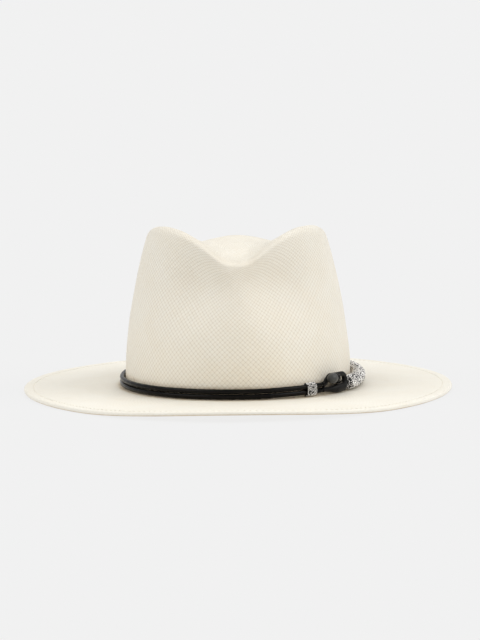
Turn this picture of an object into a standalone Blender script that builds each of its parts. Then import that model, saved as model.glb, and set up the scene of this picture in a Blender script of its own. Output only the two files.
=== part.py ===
"""A woven straw panama hat with a teardrop crown, a wired hem, a leather sweatband and a beaded cord hatband.

Metres, +Z up. The hat rests on the flat underside of its hem at z = 0, its front faces -Y and the wearer's
left is +X. Angles round the crown are zero at the front and grow towards +X.
"""

import bmesh
import bpy
import numpy as np
from mathutils import Vector

MM = 0.001
DEG = np.pi / 180

# Crown
CROWN_HALF_WIDTH = 84.0 * MM
CROWN_HALF_LENGTH = 102.6 * MM
EGG = 0.03
STRAW = 1.1 * MM
TAPER = 0.228
TAPER_POWER = 1.9
TOP_HEIGHT = 120.9 * MM
TILT = 0.22
TILT_REACH = 60 * MM
REAR_ROUNDING = 7.0
FRONT_CUPPING = 0.75
CUPPING_LEVEL = 45 * MM
REAR_BLEND_START = -10 * MM
REAR_BLEND_END = 50 * MM
SHOULDER_FRONT = 7.0 * MM
SHOULDER_REAR = 30 * MM
SHOULDER_WALL = 110 * MM
SHOULDER_TOP = 66 * MM
TOP_SHARE = 0.62
ARC_SHARE = 1.45
DENT_DEPTH = 30.5 * MM
DENT_HALF_WIDTH = 28.5 * MM
DENT_POWER = 1.75
DENT_FLOOR_SHARE = 0.11
DENT_FLOOR_HALF_WIDTH = 8 * MM
DENT_FADE_START = -45 * MM
DENT_FADE_END = 62 * MM
DENT_HEIGHT_POWER = 3
PINCH_SIDE = 38 * MM
PINCH_HEIGHT = 88 * MM
PINCH_DEPTH = 14 * MM
PINCH_LENGTH = 31 * MM
PINCH_WIDTH = 25 * MM
PINCH_RUN = (0.5, -0.866)
PINCH_IN = 0.83
PINCH_ACROSS = 0.5
PINCH_CENTRE_BLEND = 16 * MM
PINCH_FADE_START = 20 * MM
PINCH_FADE_END = 50 * MM

# Brim and hem
BRIM_WIDTH = 76.0 * MM
BREAK_SIDE = 4.0 * MM
BREAK_FRONT = 5.9 * MM
BREAK_FILLET = 3.0 * MM
EDGE_TOP = 3.2 * MM
BRIM_FALL_POWER = 1.4
FRONT_LIFT = 4.9 * MM
FRONT_LIFT_REACH = 45 * DEG
HEM_LAYER = 1.0 * MM
HEM_WIDTH = 9.0 * MM
WIRE_RADIUS = 0.25 * MM
WIRE_SETBACK = 0.2 * MM
HEM_STITCH_INSET = 7.0 * MM
THREAD_RADIUS = 0.22 * MM

# Sweatband
GAP = 0.3 * MM
LEATHER = 1.2 * MM
SWEATBAND_ROWS = 3
SWEATBAND_DROP = 5.0 * MM
REED_RADIUS = 0.7 * MM
SWEAT_STITCH_RISE = 2.5 * MM
REAR = 180 * DEG
BOW_HEIGHT = 17 * MM
BOW_HALF_WIDTH = 13 * MM
BOW_HALF_HEIGHT = 4.2 * MM
BOW_KNOT_HALF_HEIGHT = 2.3 * MM
BOW_THICKNESS = 1.4 * MM
BOW_LIFT = 0.5 * MM
TAB_ANGLE = 158 * DEG
TAB_HALF_ANGLE = 4.5 * DEG
TAB_LOW = 12 * MM
TAB_HIGH = 24 * MM
TAB_THICKNESS = 0.4 * MM
TAB_LIFT = 0.9 * MM

# Hatband
CORD_RADIUS = 1.8 * MM
CORD_SPACING = 3.9 * MM
CORD_OFFSET = 2.5 * MM
CORD_RISE = 4.35 * MM
KEEPER_ANGLE = 38 * DEG
KEEPER_OFFSET = 3.4 * MM
KEEPER_RISE = 5.45 * MM
KEEPER_WALL = 0.8 * MM
KEEPER_PLAY = 0.4 * MM
KEEPER_HALF_ANGLE = 2.8 * DEG
KEEPER_ZONE_START = 6 * DEG
KEEPER_ZONE_END = 26 * DEG
CORD_FRONT_ANGLE = 46 * DEG
TUBE_START = 64 * DEG
TUBE_END = 126 * DEG
TUBE_OFFSET = 5.95 * MM
TUBE_RISE = 5.95 * MM
TUBE_RADIUS = 5.6 * MM
BEAD_LAYER = 1.9 * MM
CAP_ANGLE = 1.4 * DEG
CAP_MARGIN = 0.5 * MM
CAP_SWELL = (0.82, 0.97, 1.0)
CORD_MERGE_ANGLE = 16 * DEG

# Loop and toggle, placed by angle round the crown, distance out from it and height
LOOP_RADIUS = 2.1 * MM
LOOP_START_RADIUS = 1.85 * MM
LOOP_LOW_RADIUS = 3.1 * MM
LOOP_HIGH_RADIUS = 1.75 * MM
LOOP_START = 46.5 * DEG
LOOP_SPREAD_ANGLE = 47.0 * DEG
LOOP_OPEN_ANGLE = 51.5 * DEG
LOOP_END = 61.9 * DEG
LOOP_LOW = 8.2 * MM
LOOP_HIGH = 18.3 * MM
LOOP_END_OFFSET = 6.3 * MM
HEAD_ANGLE = 48.6 * DEG
HEAD_OFFSET = 9.9 * MM
HEAD_HEIGHT = 17.35 * MM
HEAD_RADIUS = 3.9 * MM
HEAD_HALF_LENGTH = 4.2 * MM
NECK_RADIUS = 1.3 * MM
NECK_ROOT_RADIUS = 1.9 * MM
NECK_START = 0.7 * MM
NECK_STRAIGHT = 1.9 * MM
NECK_STOPS = (
    (53.4 * DEG, 8.2 * MM, 15.5 * MM),
    (55.4 * DEG, 5.4 * MM, 14.0 * MM),
    (57.8 * DEG, 3.0 * MM, 12.6 * MM),
    (60.2 * DEG, 2.2 * MM, 11.6 * MM),
    (62.2 * DEG, 2.4 * MM, 10.9 * MM),
    (63.2 * DEG, 3.1 * MM, 10.5 * MM),
)
NECK_END_OFFSET = 3.6 * MM

# Mesh density
AROUND = 64
CROWN_ROWS = 19
ROW_STOPS = (0, 0.33, 0.78, 1)
SHARE_STOPS = (0, 0.58, 0.76, 0.97)
CORD_SIDES = 8

MATERIALS = {
    "straw": ((0.83, 0.76, 0.62), 0.75, 0.0),
    "spring_wire": ((0.55, 0.55, 0.56), 0.35, 1.0),
    "straw_thread": ((0.80, 0.72, 0.58), 0.8, 0.0),
    "tan_leather": ((0.55, 0.34, 0.19), 0.55, 0.0),
    "reed_cloth": ((0.78, 0.70, 0.56), 0.8, 0.0),
    "tan_thread": ((0.72, 0.56, 0.38), 0.8, 0.0),
    "ribbon": ((0.70, 0.58, 0.42), 0.6, 0.0),
    "tab_cloth": ((0.88, 0.85, 0.78), 0.85, 0.0),
    "black_leather": ((0.02, 0.02, 0.022), 0.42, 0.0),
    "silver_beads": ((0.72, 0.71, 0.70), 0.3, 0.8),
    "beads": ((0.66, 0.64, 0.61), 0.35, 0.6),
    "black_metal": ((0.04, 0.04, 0.045), 0.4, 0.9),
    "core_cord": ((0.10, 0.09, 0.08), 0.8, 0.0),
}


def smooth(low, high, value):
    """0 below low, 1 above high and an even rise between."""
    t = np.clip((value - low) / (high - low), 0, 1)
    return t * t * (3 - 2 * t)


def oval(theta, offset=0.0):
    """A point on the crown's base outline, moved straight out from it by offset."""
    c = np.cos(theta)
    s = np.sin(theta)
    dx = CROWN_HALF_WIDTH * (c - EGG * np.cos(2 * theta))
    dy = CROWN_HALF_LENGTH * s
    length = np.hypot(dx, dy)
    x = CROWN_HALF_WIDTH * s * (1 - EGG * c) + offset * dy / length
    y = -CROWN_HALF_LENGTH * c - offset * dx / length
    return x, y


def break_height(theta):
    """Height of the brim's top where it meets the crown."""
    return BREAK_SIDE + (BREAK_FRONT - BREAK_SIDE) * np.cos(theta) ** 2


def brim_lift(theta, offset):
    """How far the brim's front curls up off the table, most at its edge."""
    share = np.clip(offset / BRIM_WIDTH, 0, 1)
    from_front = np.abs((theta + np.pi) % (2 * np.pi) - np.pi)
    rise = (1 + np.cos(np.pi * np.clip(from_front / FRONT_LIFT_REACH, 0, 1))) / 2
    return FRONT_LIFT * share**2 * rise


def brim_top(theta, offset):
    """Height of the brim's top at a distance out from the crown."""
    share = np.clip(offset / BRIM_WIDTH, 0, 1)
    fall = (break_height(theta) - EDGE_TOP) * (1 - share) ** BRIM_FALL_POWER
    return EDGE_TOP + fall + brim_lift(theta, offset)


def open_crown_profile(theta, v):
    """Radius and height shares of the undented crown at share v of its meridian."""
    rear = smooth(0.45, 1.0, (1 - np.cos(theta)) / 2)
    shoulder = SHOULDER_FRONT + (SHOULDER_REAR - SHOULDER_FRONT) * rear
    high = shoulder / SHOULDER_WALL
    wide = shoulder / SHOULDER_TOP
    wall = 1 - high
    arc = ARC_SHARE * high
    top = (1 - TAPER) * (1 - wide) * TOP_SHARE
    s = v * (wall + arc + top)
    turn = np.clip((s - wall) / arc, 0, 1) * np.pi / 2
    h = np.where(s < wall, s, wall + high * np.sin(turn))
    r = (1 - TAPER * h**TAPER_POWER) * (1 - wide * (1 - np.cos(turn)))
    return r * (1 - np.clip((s - wall - arc) / top, 0, 1)), h


def crown(theta, v):
    """A point of the crown's outer face: v is 0 at the brim's fillet and 1 at the middle of the top."""
    r, h = open_crown_profile(theta, v)
    bx, by = oval(theta)
    x = r * bx
    y = r * by
    foot = break_height(theta) + BREAK_FILLET
    top = TOP_HEIGHT - TILT * TILT_REACH * np.tanh(y / TILT_REACH)
    rear = smooth(REAR_BLEND_START, REAR_BLEND_END, y)
    top = top - REAR_ROUNDING * x * x * rear + FRONT_CUPPING * (x * x - CUPPING_LEVEL**2) * (1 - rear)
    z = foot + h * (top - foot)
    side = np.hypot(x, PINCH_CENTRE_BLEND) - PINCH_SIDE
    rise = z - PINCH_HEIGHT
    along = side * PINCH_RUN[0] + rise * PINCH_RUN[1]
    across = rise * PINCH_RUN[0] - side * PINCH_RUN[1]
    pinch = PINCH_DEPTH * np.exp(-((along / PINCH_LENGTH) ** 2) - (across / PINCH_WIDTH) ** 2)
    pinch = pinch * smooth(PINCH_FADE_START, PINCH_FADE_END, -y)
    x = x - np.tanh(x / PINCH_CENTRE_BLEND) * PINCH_ACROSS * pinch
    y = y + PINCH_IN * pinch
    fade = 1 - smooth(DENT_FADE_START, DENT_FADE_END, y)
    sides = np.exp(-(np.abs(x / DENT_HALF_WIDTH) ** DENT_POWER))
    floor = DENT_FLOOR_SHARE * np.exp(-((x / DENT_FLOOR_HALF_WIDTH) ** 2))
    dent = DENT_DEPTH * fade * (sides - floor)
    return np.stack([x, y, z - dent * h**DENT_HEIGHT_POWER], axis=-1)


def crown_normal(theta, v):
    """The outward unit normal of the crown's outer face."""
    step = 1e-3
    near = np.clip(v, 0, 1 - 2 * step)
    low = np.maximum(near - step, 0)
    along = crown(theta, near + step) - crown(theta, low)
    around = crown(theta + step, near) - crown(theta - step, near)
    normal = np.cross(around, along)
    return normal / np.linalg.norm(normal, axis=-1, keepdims=True)


def inside_crown(theta, v, depth):
    """A point a distance inside the crown's outer face."""
    return crown(theta, v) - depth * crown_normal(theta, v)


def band_place(theta, offset, height):
    """A point outside the crown by angle, distance out and height."""
    x, y = oval(theta, offset)
    return np.stack([x, y, height + 0 * x], axis=-1)


def material(name):
    """The Principled material of that name, made once."""
    found = bpy.data.materials.get(name)
    if found:
        return found
    colour, roughness, metallic = MATERIALS[name]
    made = bpy.data.materials.new(name)
    made.use_nodes = True
    shader = made.node_tree.nodes["Principled BSDF"]
    shader.inputs["Base Color"].default_value = (*colour, 1.0)
    shader.inputs["Roughness"].default_value = roughness
    shader.inputs["Metallic"].default_value = metallic
    made.diffuse_color = (*colour, 1.0)
    return made


def add_body(name, points, faces, look):
    """One closed body as a named object, its faces turned out and shaded smooth."""
    mesh = bpy.data.meshes.new(name)
    mesh.from_pydata([tuple(map(float, p)) for p in points], [], faces)
    work = bmesh.new()
    work.from_mesh(mesh)
    bmesh.ops.recalc_face_normals(work, faces=work.faces)
    bmesh.ops.triangulate(work, faces=work.faces)
    work.to_mesh(mesh)
    work.free()
    for face in mesh.polygons:
        face.use_smooth = True
    mesh.materials.append(material(look))
    body = bpy.data.objects.new(name, mesh)
    bpy.context.collection.objects.link(body)
    return body


def quads(rows, columns, wrap_rows, wrap_columns, first=0):
    """Faces of a grid of points, row after row."""
    faces = []
    for i in range(rows if wrap_rows else rows - 1):
        for j in range(columns if wrap_columns else columns - 1):
            a = first + i * columns + j
            b = first + i * columns + (j + 1) % columns
            c = first + ((i + 1) % rows) * columns + (j + 1) % columns
            d = first + ((i + 1) % rows) * columns + j
            faces.append((a, b, c, d))
    return faces


def add_ring(name, loops, look):
    """A body whose closed cross-section loops follow one another round the hat."""
    grid = np.asarray(loops)
    faces = quads(grid.shape[0], grid.shape[1], True, True)
    return add_body(name, grid.reshape(-1, 3), faces, look)


def add_rod(name, loops, look):
    """A body made of cross-section loops, closed flat at both ends."""
    grid = np.asarray(loops)
    rows, columns = grid.shape[:2]
    faces = quads(rows, columns, False, True)
    faces.append(tuple(range(columns)))
    faces.append(tuple(range((rows - 1) * columns, rows * columns)))
    return add_body(name, grid.reshape(-1, 3), faces, look)


def add_sleeve(name, outer, inner, look):
    """A tube with a hole right through it, from matching outer and inner loops."""
    out_grid = np.asarray(outer)
    in_grid = np.asarray(inner)
    loops = np.concatenate([out_grid, in_grid[::-1]], axis=0)
    faces = quads(loops.shape[0], loops.shape[1], True, True)
    return add_body(name, loops.reshape(-1, 3), faces, look)


def section_frames(path):
    """Side and up directions across a path, up staying as near +Z as it can."""
    ahead = np.gradient(path, axis=0)
    ahead = ahead / np.linalg.norm(ahead, axis=1, keepdims=True)
    side = np.cross(ahead, np.array([0.0, 0.0, 1.0]))
    side = side / np.linalg.norm(side, axis=1, keepdims=True)
    return side, np.cross(side, ahead)


def loops_along(path, half_width, half_height, sides, squareness=1.0):
    """Round or stadium-shaped loops square to a path."""
    side, up = section_frames(path)
    turn = np.arange(sides) * 2 * np.pi / sides + np.pi / sides
    across = np.cos(turn)[None, :, None]
    rise = np.sin(turn)[None, :, None]
    rise = np.sign(rise) * np.abs(rise) ** squareness
    width = np.broadcast_to(half_width, len(path))[:, None, None]
    height = np.broadcast_to(half_height, len(path))[:, None, None]
    return path[:, None, :] + across * width * side[:, None, :] + rise * height * up[:, None, :]


def stadium_loops(path, radius, half_spacing, sides):
    """Loops round two stacked circles."""
    side, up = section_frames(path)
    turn = np.arange(sides) * 2 * np.pi / sides + np.pi / sides
    across = radius * np.cos(turn)
    rise = radius * np.sin(turn) + np.sign(np.sin(turn)) * half_spacing
    return path[:, None, :] + across[None, :, None] * side[:, None, :] + rise[None, :, None] * up[:, None, :]


def hat_angles():
    return np.arange(AROUND) * 2 * np.pi / AROUND


def ring_path(offset, height):
    """A closed path round the hat at a distance out from the crown."""
    theta = hat_angles()
    return band_place(theta, offset, height(theta))


def closed_loops(path, radius, sides):
    """Round loops square to a closed level path, with no seam."""
    ahead = np.roll(path, -1, axis=0) - np.roll(path, 1, axis=0)
    ahead = ahead / np.linalg.norm(ahead, axis=1, keepdims=True)
    side = np.cross(ahead, np.array([0.0, 0.0, 1.0]))
    side = side / np.linalg.norm(side, axis=1, keepdims=True)
    up = np.cross(side, ahead)
    turn = np.arange(sides) * 2 * np.pi / sides + np.pi / sides
    across = radius * np.cos(turn)[None, :, None]
    rise = radius * np.sin(turn)[None, :, None]
    return path[:, None, :] + across * side[:, None, :] + rise * up[:, None, :]


def crown_shares():
    """Meridian shares of the crown's rows, from beside its top's middle down, closest at the shoulder."""
    return np.interp(np.linspace(1, 0, CROWN_ROWS), ROW_STOPS, SHARE_STOPS)


def straw_profile(theta):
    """Rows of points from the top of the crown, out over the brim, round the hem and back up inside."""
    rows = [crown(theta, np.full_like(theta, v)) for v in crown_shares()]
    foot = break_height(theta)
    for turn in (30, 60, 90):
        angle = turn * DEG
        offset = BREAK_FILLET * (1 - np.cos(angle))
        rows.append(band_place(theta, offset, foot + BREAK_FILLET * (1 - np.sin(angle))))
    for share in (0.2, 0.45, 0.72, 0.9):
        offset = share * BRIM_WIDTH
        rows.append(band_place(theta, offset, brim_top(theta, offset)))
    edge_radius = EDGE_TOP / 2
    fold_centre = BRIM_WIDTH - edge_radius
    for turn in (90, 50, 18, -18, -50, -90):
        angle = turn * DEG
        offset = fold_centre + edge_radius * np.cos(angle)
        rows.append(band_place(theta, offset, edge_radius * (1 + np.sin(angle)) + brim_lift(theta, offset)))
    hem_start = BRIM_WIDTH - HEM_WIDTH
    hem_lift = brim_lift(theta, hem_start)
    rows.append(band_place(theta, hem_start, hem_lift))
    rows.append(band_place(theta, hem_start, hem_lift + HEM_LAYER))
    channel_low = HEM_LAYER
    channel_high = EDGE_TOP - STRAW
    channel_radius = (channel_high - channel_low) / 2
    channel_end = BRIM_WIDTH - HEM_LAYER - channel_radius
    for turn in (-90, 0, 90):
        angle = turn * DEG
        offset = channel_end + channel_radius * np.cos(angle)
        height = channel_low + channel_radius * (1 + np.sin(angle))
        rows.append(band_place(theta, offset, height + brim_lift(theta, offset)))
    for share in (0.86, 0.6, 0.3):
        offset = share * BRIM_WIDTH
        rows.append(band_place(theta, offset, brim_top(theta, offset) - STRAW))
    inner_fillet = BREAK_FILLET + STRAW
    for turn in (90, 60, 30):
        angle = turn * DEG
        offset = BREAK_FILLET - inner_fillet * np.cos(angle)
        height = foot + BREAK_FILLET - inner_fillet * np.sin(angle)
        rows.append(band_place(theta, offset, height))
    for v in crown_shares()[::-1]:
        rows.append(inside_crown(theta, np.full_like(theta, v), STRAW))
    return np.asarray(rows)


def add_straw_body():
    theta = hat_angles()
    grid = straw_profile(theta)
    rows = grid.shape[0]
    poles = [grid[0].mean(axis=0), grid[-1].mean(axis=0)]
    points = np.concatenate([grid.reshape(-1, 3), poles])
    faces = quads(rows, AROUND, False, True)
    outer_pole = rows * AROUND
    last = (rows - 1) * AROUND
    for j in range(AROUND):
        faces.append((outer_pole, (j + 1) % AROUND, j))
        faces.append((outer_pole + 1, last + j, last + (j + 1) % AROUND))
    return add_body("straw_body", points, faces, "straw")


def add_brim_wire():
    middle = (HEM_LAYER + EDGE_TOP - STRAW) / 2
    channel_radius = (EDGE_TOP - STRAW - HEM_LAYER) / 2
    offset = BRIM_WIDTH - HEM_LAYER - channel_radius - WIRE_SETBACK
    path = ring_path(offset, lambda theta: middle + brim_lift(theta, offset))
    return add_ring("brim_wire", closed_loops(path, WIRE_RADIUS, 4), "spring_wire")


def add_hem_stitching():
    offset = BRIM_WIDTH - HEM_STITCH_INSET
    lift = GAP + THREAD_RADIUS
    path = ring_path(offset, lambda theta: brim_top(theta, offset) + lift)
    return add_ring("hem_stitching", closed_loops(path, THREAD_RADIUS, 4), "straw_thread")


def sweatband_rows(theta, depth):
    """Rows up one face of the sweatband at a depth inside the straw's outer face."""
    foot = inside_crown(theta, np.zeros_like(theta), depth)
    low = foot.copy()
    low[:, 2] = low[:, 2] - SWEATBAND_DROP
    rows = [low]
    for v in crown_shares()[::-1][:SWEATBAND_ROWS]:
        rows.append(inside_crown(theta, np.full_like(theta, v), depth))
    return rows


def add_sweatband():
    theta = hat_angles()
    back = sweatband_rows(theta, STRAW + GAP)
    face = sweatband_rows(theta, STRAW + GAP + LEATHER)
    return add_ring("sweatband", np.asarray(back + face[::-1]), "tan_leather")


def sweat_foot_height(theta):
    return break_height(theta) + BREAK_FILLET - SWEATBAND_DROP


def add_sweatband_reed():
    offset = -(STRAW + GAP + REED_RADIUS)
    path = ring_path(offset, lambda theta: sweat_foot_height(theta) - GAP - REED_RADIUS)
    return add_ring("sweatband_reed", closed_loops(path, REED_RADIUS, 6), "reed_cloth")


def add_sweatband_stitching():
    offset = -(STRAW + GAP + LEATHER + GAP + THREAD_RADIUS)
    path = ring_path(offset, lambda theta: sweat_foot_height(theta) + SWEAT_STITCH_RISE)
    return add_ring("sweatband_stitching", closed_loops(path, THREAD_RADIUS, 4), "tan_thread")


def add_sweatband_bow():
    """A pinched ribbon bow lying on the sweatband's face at the rear."""
    spread = np.linspace(-1, 1, 15)
    swell = np.sin(np.clip(np.abs(spread), 0, 1) * np.pi / 2) ** 0.7
    end = np.sqrt(np.clip(1 - np.abs(spread) ** 8, 0.05, 1))
    half_height = (BOW_KNOT_HALF_HEIGHT + (BOW_HALF_HEIGHT - BOW_KNOT_HALF_HEIGHT) * swell) * end
    knot = np.exp(-((spread / 0.16) ** 2))
    thick = BOW_THICKNESS * (0.6 + 0.4 * swell + 0.7 * knot) * (0.4 + 0.6 * end)
    face_offset = -(STRAW + 2 * GAP + LEATHER + BOW_LIFT)
    arc = BOW_HALF_WIDTH / CROWN_HALF_WIDTH
    theta = REAR + spread * arc
    centre = band_place(theta, face_offset - thick / 2, BOW_HEIGHT)
    loops = loops_along(centre, thick / 2, half_height, 8, 0.8)
    return add_rod("sweatband_bow", loops, "ribbon")


def add_size_tab():
    """A small blank cloth tag lying on the sweatband's face near the rear."""
    theta = np.linspace(TAB_ANGLE - TAB_HALF_ANGLE, TAB_ANGLE + TAB_HALF_ANGLE, 5)
    near = -(STRAW + 2 * GAP + LEATHER + TAB_LIFT)
    far = near - TAB_THICKNESS
    corners = ((near, TAB_LOW), (near, TAB_HIGH), (far, TAB_HIGH), (far, TAB_LOW))
    loops = np.stack([band_place(theta, offset, height) for offset, height in corners], axis=1)
    return add_rod("size_tab", loops, "tab_cloth")


def keeper_height():
    return break_height(KEEPER_ANGLE) + KEEPER_RISE


def band_path(theta):
    """The middle of the two cords, from the closure round the front, left and back to the beaded tube."""
    keeper = smooth(KEEPER_ZONE_START, KEEPER_ZONE_END, theta)
    rear_end = TUBE_END - 2 * np.pi
    merge = 1 - smooth(rear_end, rear_end + CORD_MERGE_ANGLE, theta)
    offset = CORD_OFFSET + (KEEPER_OFFSET - CORD_OFFSET) * keeper + (TUBE_OFFSET - CORD_OFFSET) * merge
    free = break_height(theta) + CORD_RISE + (TUBE_RISE - CORD_RISE) * merge
    height = free + (keeper_height() - free) * keeper
    return band_place(theta, offset, height)


def cord_angles():
    step = 2 * np.pi / AROUND
    inner_end = TUBE_END - 2 * np.pi + 0.2 * DEG
    whole = np.arange(np.ceil(inner_end / step), np.floor(CORD_FRONT_ANGLE / step) + 1) * step
    return np.concatenate([[inner_end], whole[1:], [CORD_FRONT_ANGLE]])


def add_cord(name, rise):
    path = band_path(cord_angles())
    path[:, 2] = path[:, 2] + rise
    return add_rod(name, loops_along(path, CORD_RADIUS, CORD_RADIUS, CORD_SIDES), "black_leather")


def keeper_path():
    theta = np.linspace(KEEPER_ANGLE - KEEPER_HALF_ANGLE, KEEPER_ANGLE + KEEPER_HALF_ANGLE, 5)
    return band_path(theta)


def keeper_pivot():
    """Centre of the circle that the cords follow under the keeper."""
    step = 4 * DEG
    here = [band_path(np.array([KEEPER_ANGLE + turn]))[0] for turn in (-step, 0.0, step)]
    ax, ay = here[0][:2]
    bx, by = here[1][:2]
    cx, cy = here[2][:2]
    double = 2 * (ax * (by - cy) + bx * (cy - ay) + cx * (ay - by))
    aa = ax * ax + ay * ay
    bb = bx * bx + by * by
    cc = cx * cx + cy * cy
    x = (aa * (by - cy) + bb * (cy - ay) + cc * (ay - by)) / double
    y = (aa * (cx - bx) + bb * (ax - cx) + cc * (bx - ax)) / double
    return Vector((x, y, keeper_height()))


def add_cord_keeper():
    """The beaded sleeve round both cords, its origin on the axis that it slides about."""
    path = keeper_path()
    inner_radius = CORD_RADIUS + KEEPER_PLAY
    inner = stadium_loops(path, inner_radius, CORD_SPACING / 2, 12)
    outer = stadium_loops(path, inner_radius + KEEPER_WALL, CORD_SPACING / 2, 12)
    body = add_sleeve("cord_keeper", outer, inner, "silver_beads")
    pivot = keeper_pivot()
    for vertex in body.data.vertices:
        vertex.co = vertex.co - pivot
    body.location = pivot
    return body


def loop_leg(theta, rise):
    """One side of the loop: it leaves the cord's end and spreads from its neighbour."""
    spread = smooth(LOOP_SPREAD_ANGLE, LOOP_OPEN_ANGLE, theta)
    start = band_path(theta)
    far_height = LOOP_HIGH if rise > 0 else LOOP_LOW
    height = (keeper_height() + rise) * (1 - spread) + far_height * spread
    out = smooth(LOOP_START, LOOP_END, theta)
    offset = KEEPER_OFFSET + (LOOP_END_OFFSET - KEEPER_OFFSET) * out
    place = band_place(theta, offset, height)
    return np.where(spread[:, None] > 0, place, np.c_[start[:, :2], height])


def loop_centre_line():
    """Up the lower side, round the far end and back along the upper side."""
    half = (LOOP_HIGH - LOOP_LOW) / 2
    per_angle = np.linalg.norm(band_place(LOOP_END, 0, 0) - band_place(LOOP_END - DEG, 0, 0)) / DEG
    turn_angle = half / per_angle
    straight_end = LOOP_END - turn_angle
    theta = np.concatenate([[LOOP_START], np.linspace(LOOP_SPREAD_ANGLE, straight_end, 8)])
    low = loop_leg(theta, -CORD_SPACING / 2)
    high = loop_leg(theta, CORD_SPACING / 2)
    bend = np.linspace(-90, 90, 9)[1:-1] * DEG
    bend_theta = straight_end + turn_angle * np.cos(bend)
    bend_offset = KEEPER_OFFSET + (LOOP_END_OFFSET - KEEPER_OFFSET) * smooth(LOOP_START, LOOP_END, bend_theta)
    middle = (LOOP_HIGH + LOOP_LOW) / 2
    end = band_place(bend_theta, bend_offset, middle + half * np.sin(bend))
    return np.concatenate([low, end, high[::-1]])


def twist_free_loops(path, radius, sides):
    """Round loops square to a path that turns in any direction."""
    ahead = np.gradient(path, axis=0)
    ahead = ahead / np.linalg.norm(ahead, axis=1, keepdims=True)
    out = path.copy()
    out[:, 2] = 0
    out = out / np.linalg.norm(out, axis=1, keepdims=True)
    side = out - (out * ahead).sum(axis=1, keepdims=True) * ahead
    side = side / np.linalg.norm(side, axis=1, keepdims=True)
    up = np.cross(side, ahead)
    turn = np.arange(sides) * 2 * np.pi / sides
    girth = np.asarray(radius)[:, None, None]
    across = np.cos(turn)[None, :, None] * girth
    rise = np.sin(turn)[None, :, None] * girth
    return path[:, None, :] + across * side[:, None, :] + rise * up[:, None, :]


def loop_radii(count):
    """The loop's thickness along it: slim at both cords, stout low down and thinner high up."""
    share = np.linspace(0, 1, count)
    stops = (0, 0.12, 0.26, 0.38, 0.5, 0.62, 0.88, 1)
    slim = LOOP_START_RADIUS
    low = LOOP_LOW_RADIUS
    high = LOOP_HIGH_RADIUS
    return np.interp(share, stops, (slim, slim, low, low, LOOP_RADIUS, high, slim, slim))


def add_closure_loop():
    path = loop_centre_line()
    loops = twist_free_loops(path, loop_radii(len(path)), 10)
    return add_rod("closure_loop", loops, "black_leather")


def head_axis():
    """Unit vector from the toggle's head towards its neck."""
    ahead = band_place(HEAD_ANGLE + DEG, HEAD_OFFSET, HEAD_HEIGHT) - band_place(
        HEAD_ANGLE - DEG, HEAD_OFFSET, HEAD_HEIGHT
    )
    return ahead / np.linalg.norm(ahead)


def add_toggle_head():
    """A rounded, slightly flattened leather knob."""
    centre = band_place(HEAD_ANGLE, HEAD_OFFSET, HEAD_HEIGHT)
    ahead = head_axis()
    turn = np.linspace(8, 172, 9) * DEG
    path = centre - np.cos(turn)[:, None] * HEAD_HALF_LENGTH * ahead
    width = HEAD_RADIUS * np.sin(turn) ** 0.85
    return add_rod("toggle_head", loops_along(path, width, width, 12), "black_leather")


def neck_end(theta):
    """The middle of the hole where the neck enters the beaded tube's front cap."""
    return band_place(theta, NECK_END_OFFSET, break_height(theta) + TUBE_RISE)


def neck_path():
    """From the head, in through the loop, under its end and into the beaded tube's cap."""
    centre = band_place(HEAD_ANGLE, HEAD_OFFSET, HEAD_HEIGHT)
    corners = [centre + head_axis() * (HEAD_HALF_LENGTH + reach) for reach in (NECK_START, NECK_STRAIGHT)]
    for angle, offset, height in NECK_STOPS:
        corners.append(band_place(angle, offset, height))
    corners.append(neck_end(TUBE_START))
    corners.append(neck_end(TUBE_START + CAP_ANGLE))
    knots = np.asarray(corners)
    padded = np.concatenate([2 * knots[:1] - knots[1:2], knots, 2 * knots[-1:] - knots[-2:-1]])
    path = []
    for i in range(1, len(padded) - 2):
        for t in np.arange(4) / 4:
            a = 2 * padded[i]
            b = (padded[i + 1] - padded[i - 1]) * t
            c = (2 * padded[i - 1] - 5 * padded[i] + 4 * padded[i + 1] - padded[i + 2]) * t * t
            d = (3 * padded[i] - padded[i - 1] - 3 * padded[i + 1] + padded[i + 2]) * t**3
            path.append((a + b + c + d) / 2)
    path.append(knots[-1])
    return np.asarray(path)


def add_toggle_neck():
    path = neck_path()
    share = np.linspace(0, 1, len(path))
    radius = NECK_ROOT_RADIUS + (NECK_RADIUS - NECK_ROOT_RADIUS) * smooth(0.3, 0.55, share)
    return add_rod("toggle_neck", loops_along(path, radius, radius, 6), "black_leather")


def tube_path(start, end, count):
    theta = np.linspace(start, end, count)
    return band_place(theta, TUBE_OFFSET, break_height(theta) + TUBE_RISE)


def add_tube_parts():
    core_radius = TUBE_RADIUS - BEAD_LAYER - GAP
    margin = CAP_MARGIN / CROWN_HALF_LENGTH
    first = TUBE_START + CAP_ANGLE + margin
    last = TUBE_END - CAP_ANGLE - margin
    path = tube_path(first, last, 15)
    add_rod("tube_core", loops_along(path, core_radius, core_radius, 10), "core_cord")
    outer = loops_along(path, TUBE_RADIUS, TUBE_RADIUS, 14)
    inner = loops_along(path, TUBE_RADIUS - BEAD_LAYER, TUBE_RADIUS - BEAD_LAYER, 14)
    add_sleeve("bead_sleeve", outer, inner, "beads")
    front = tube_path(TUBE_START, TUBE_START + CAP_ANGLE, 3)
    swell = np.array(CAP_SWELL) * TUBE_RADIUS
    hole = NECK_RADIUS + GAP
    outer = loops_along(front, swell, swell, 14)
    inner = loops_along(neck_end(np.linspace(TUBE_START, TUBE_START + CAP_ANGLE, 3)), hole, hole, 14)
    add_sleeve("tube_front_cap", outer, inner, "black_metal")
    rear = tube_path(TUBE_END - CAP_ANGLE, TUBE_END, 3)
    outer = loops_along(rear, swell[::-1], swell[::-1], 14)
    inner = stadium_loops(rear, CORD_RADIUS + GAP, CORD_SPACING / 2, 14)
    add_sleeve("tube_rear_cap", outer, inner, "black_metal")


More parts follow.
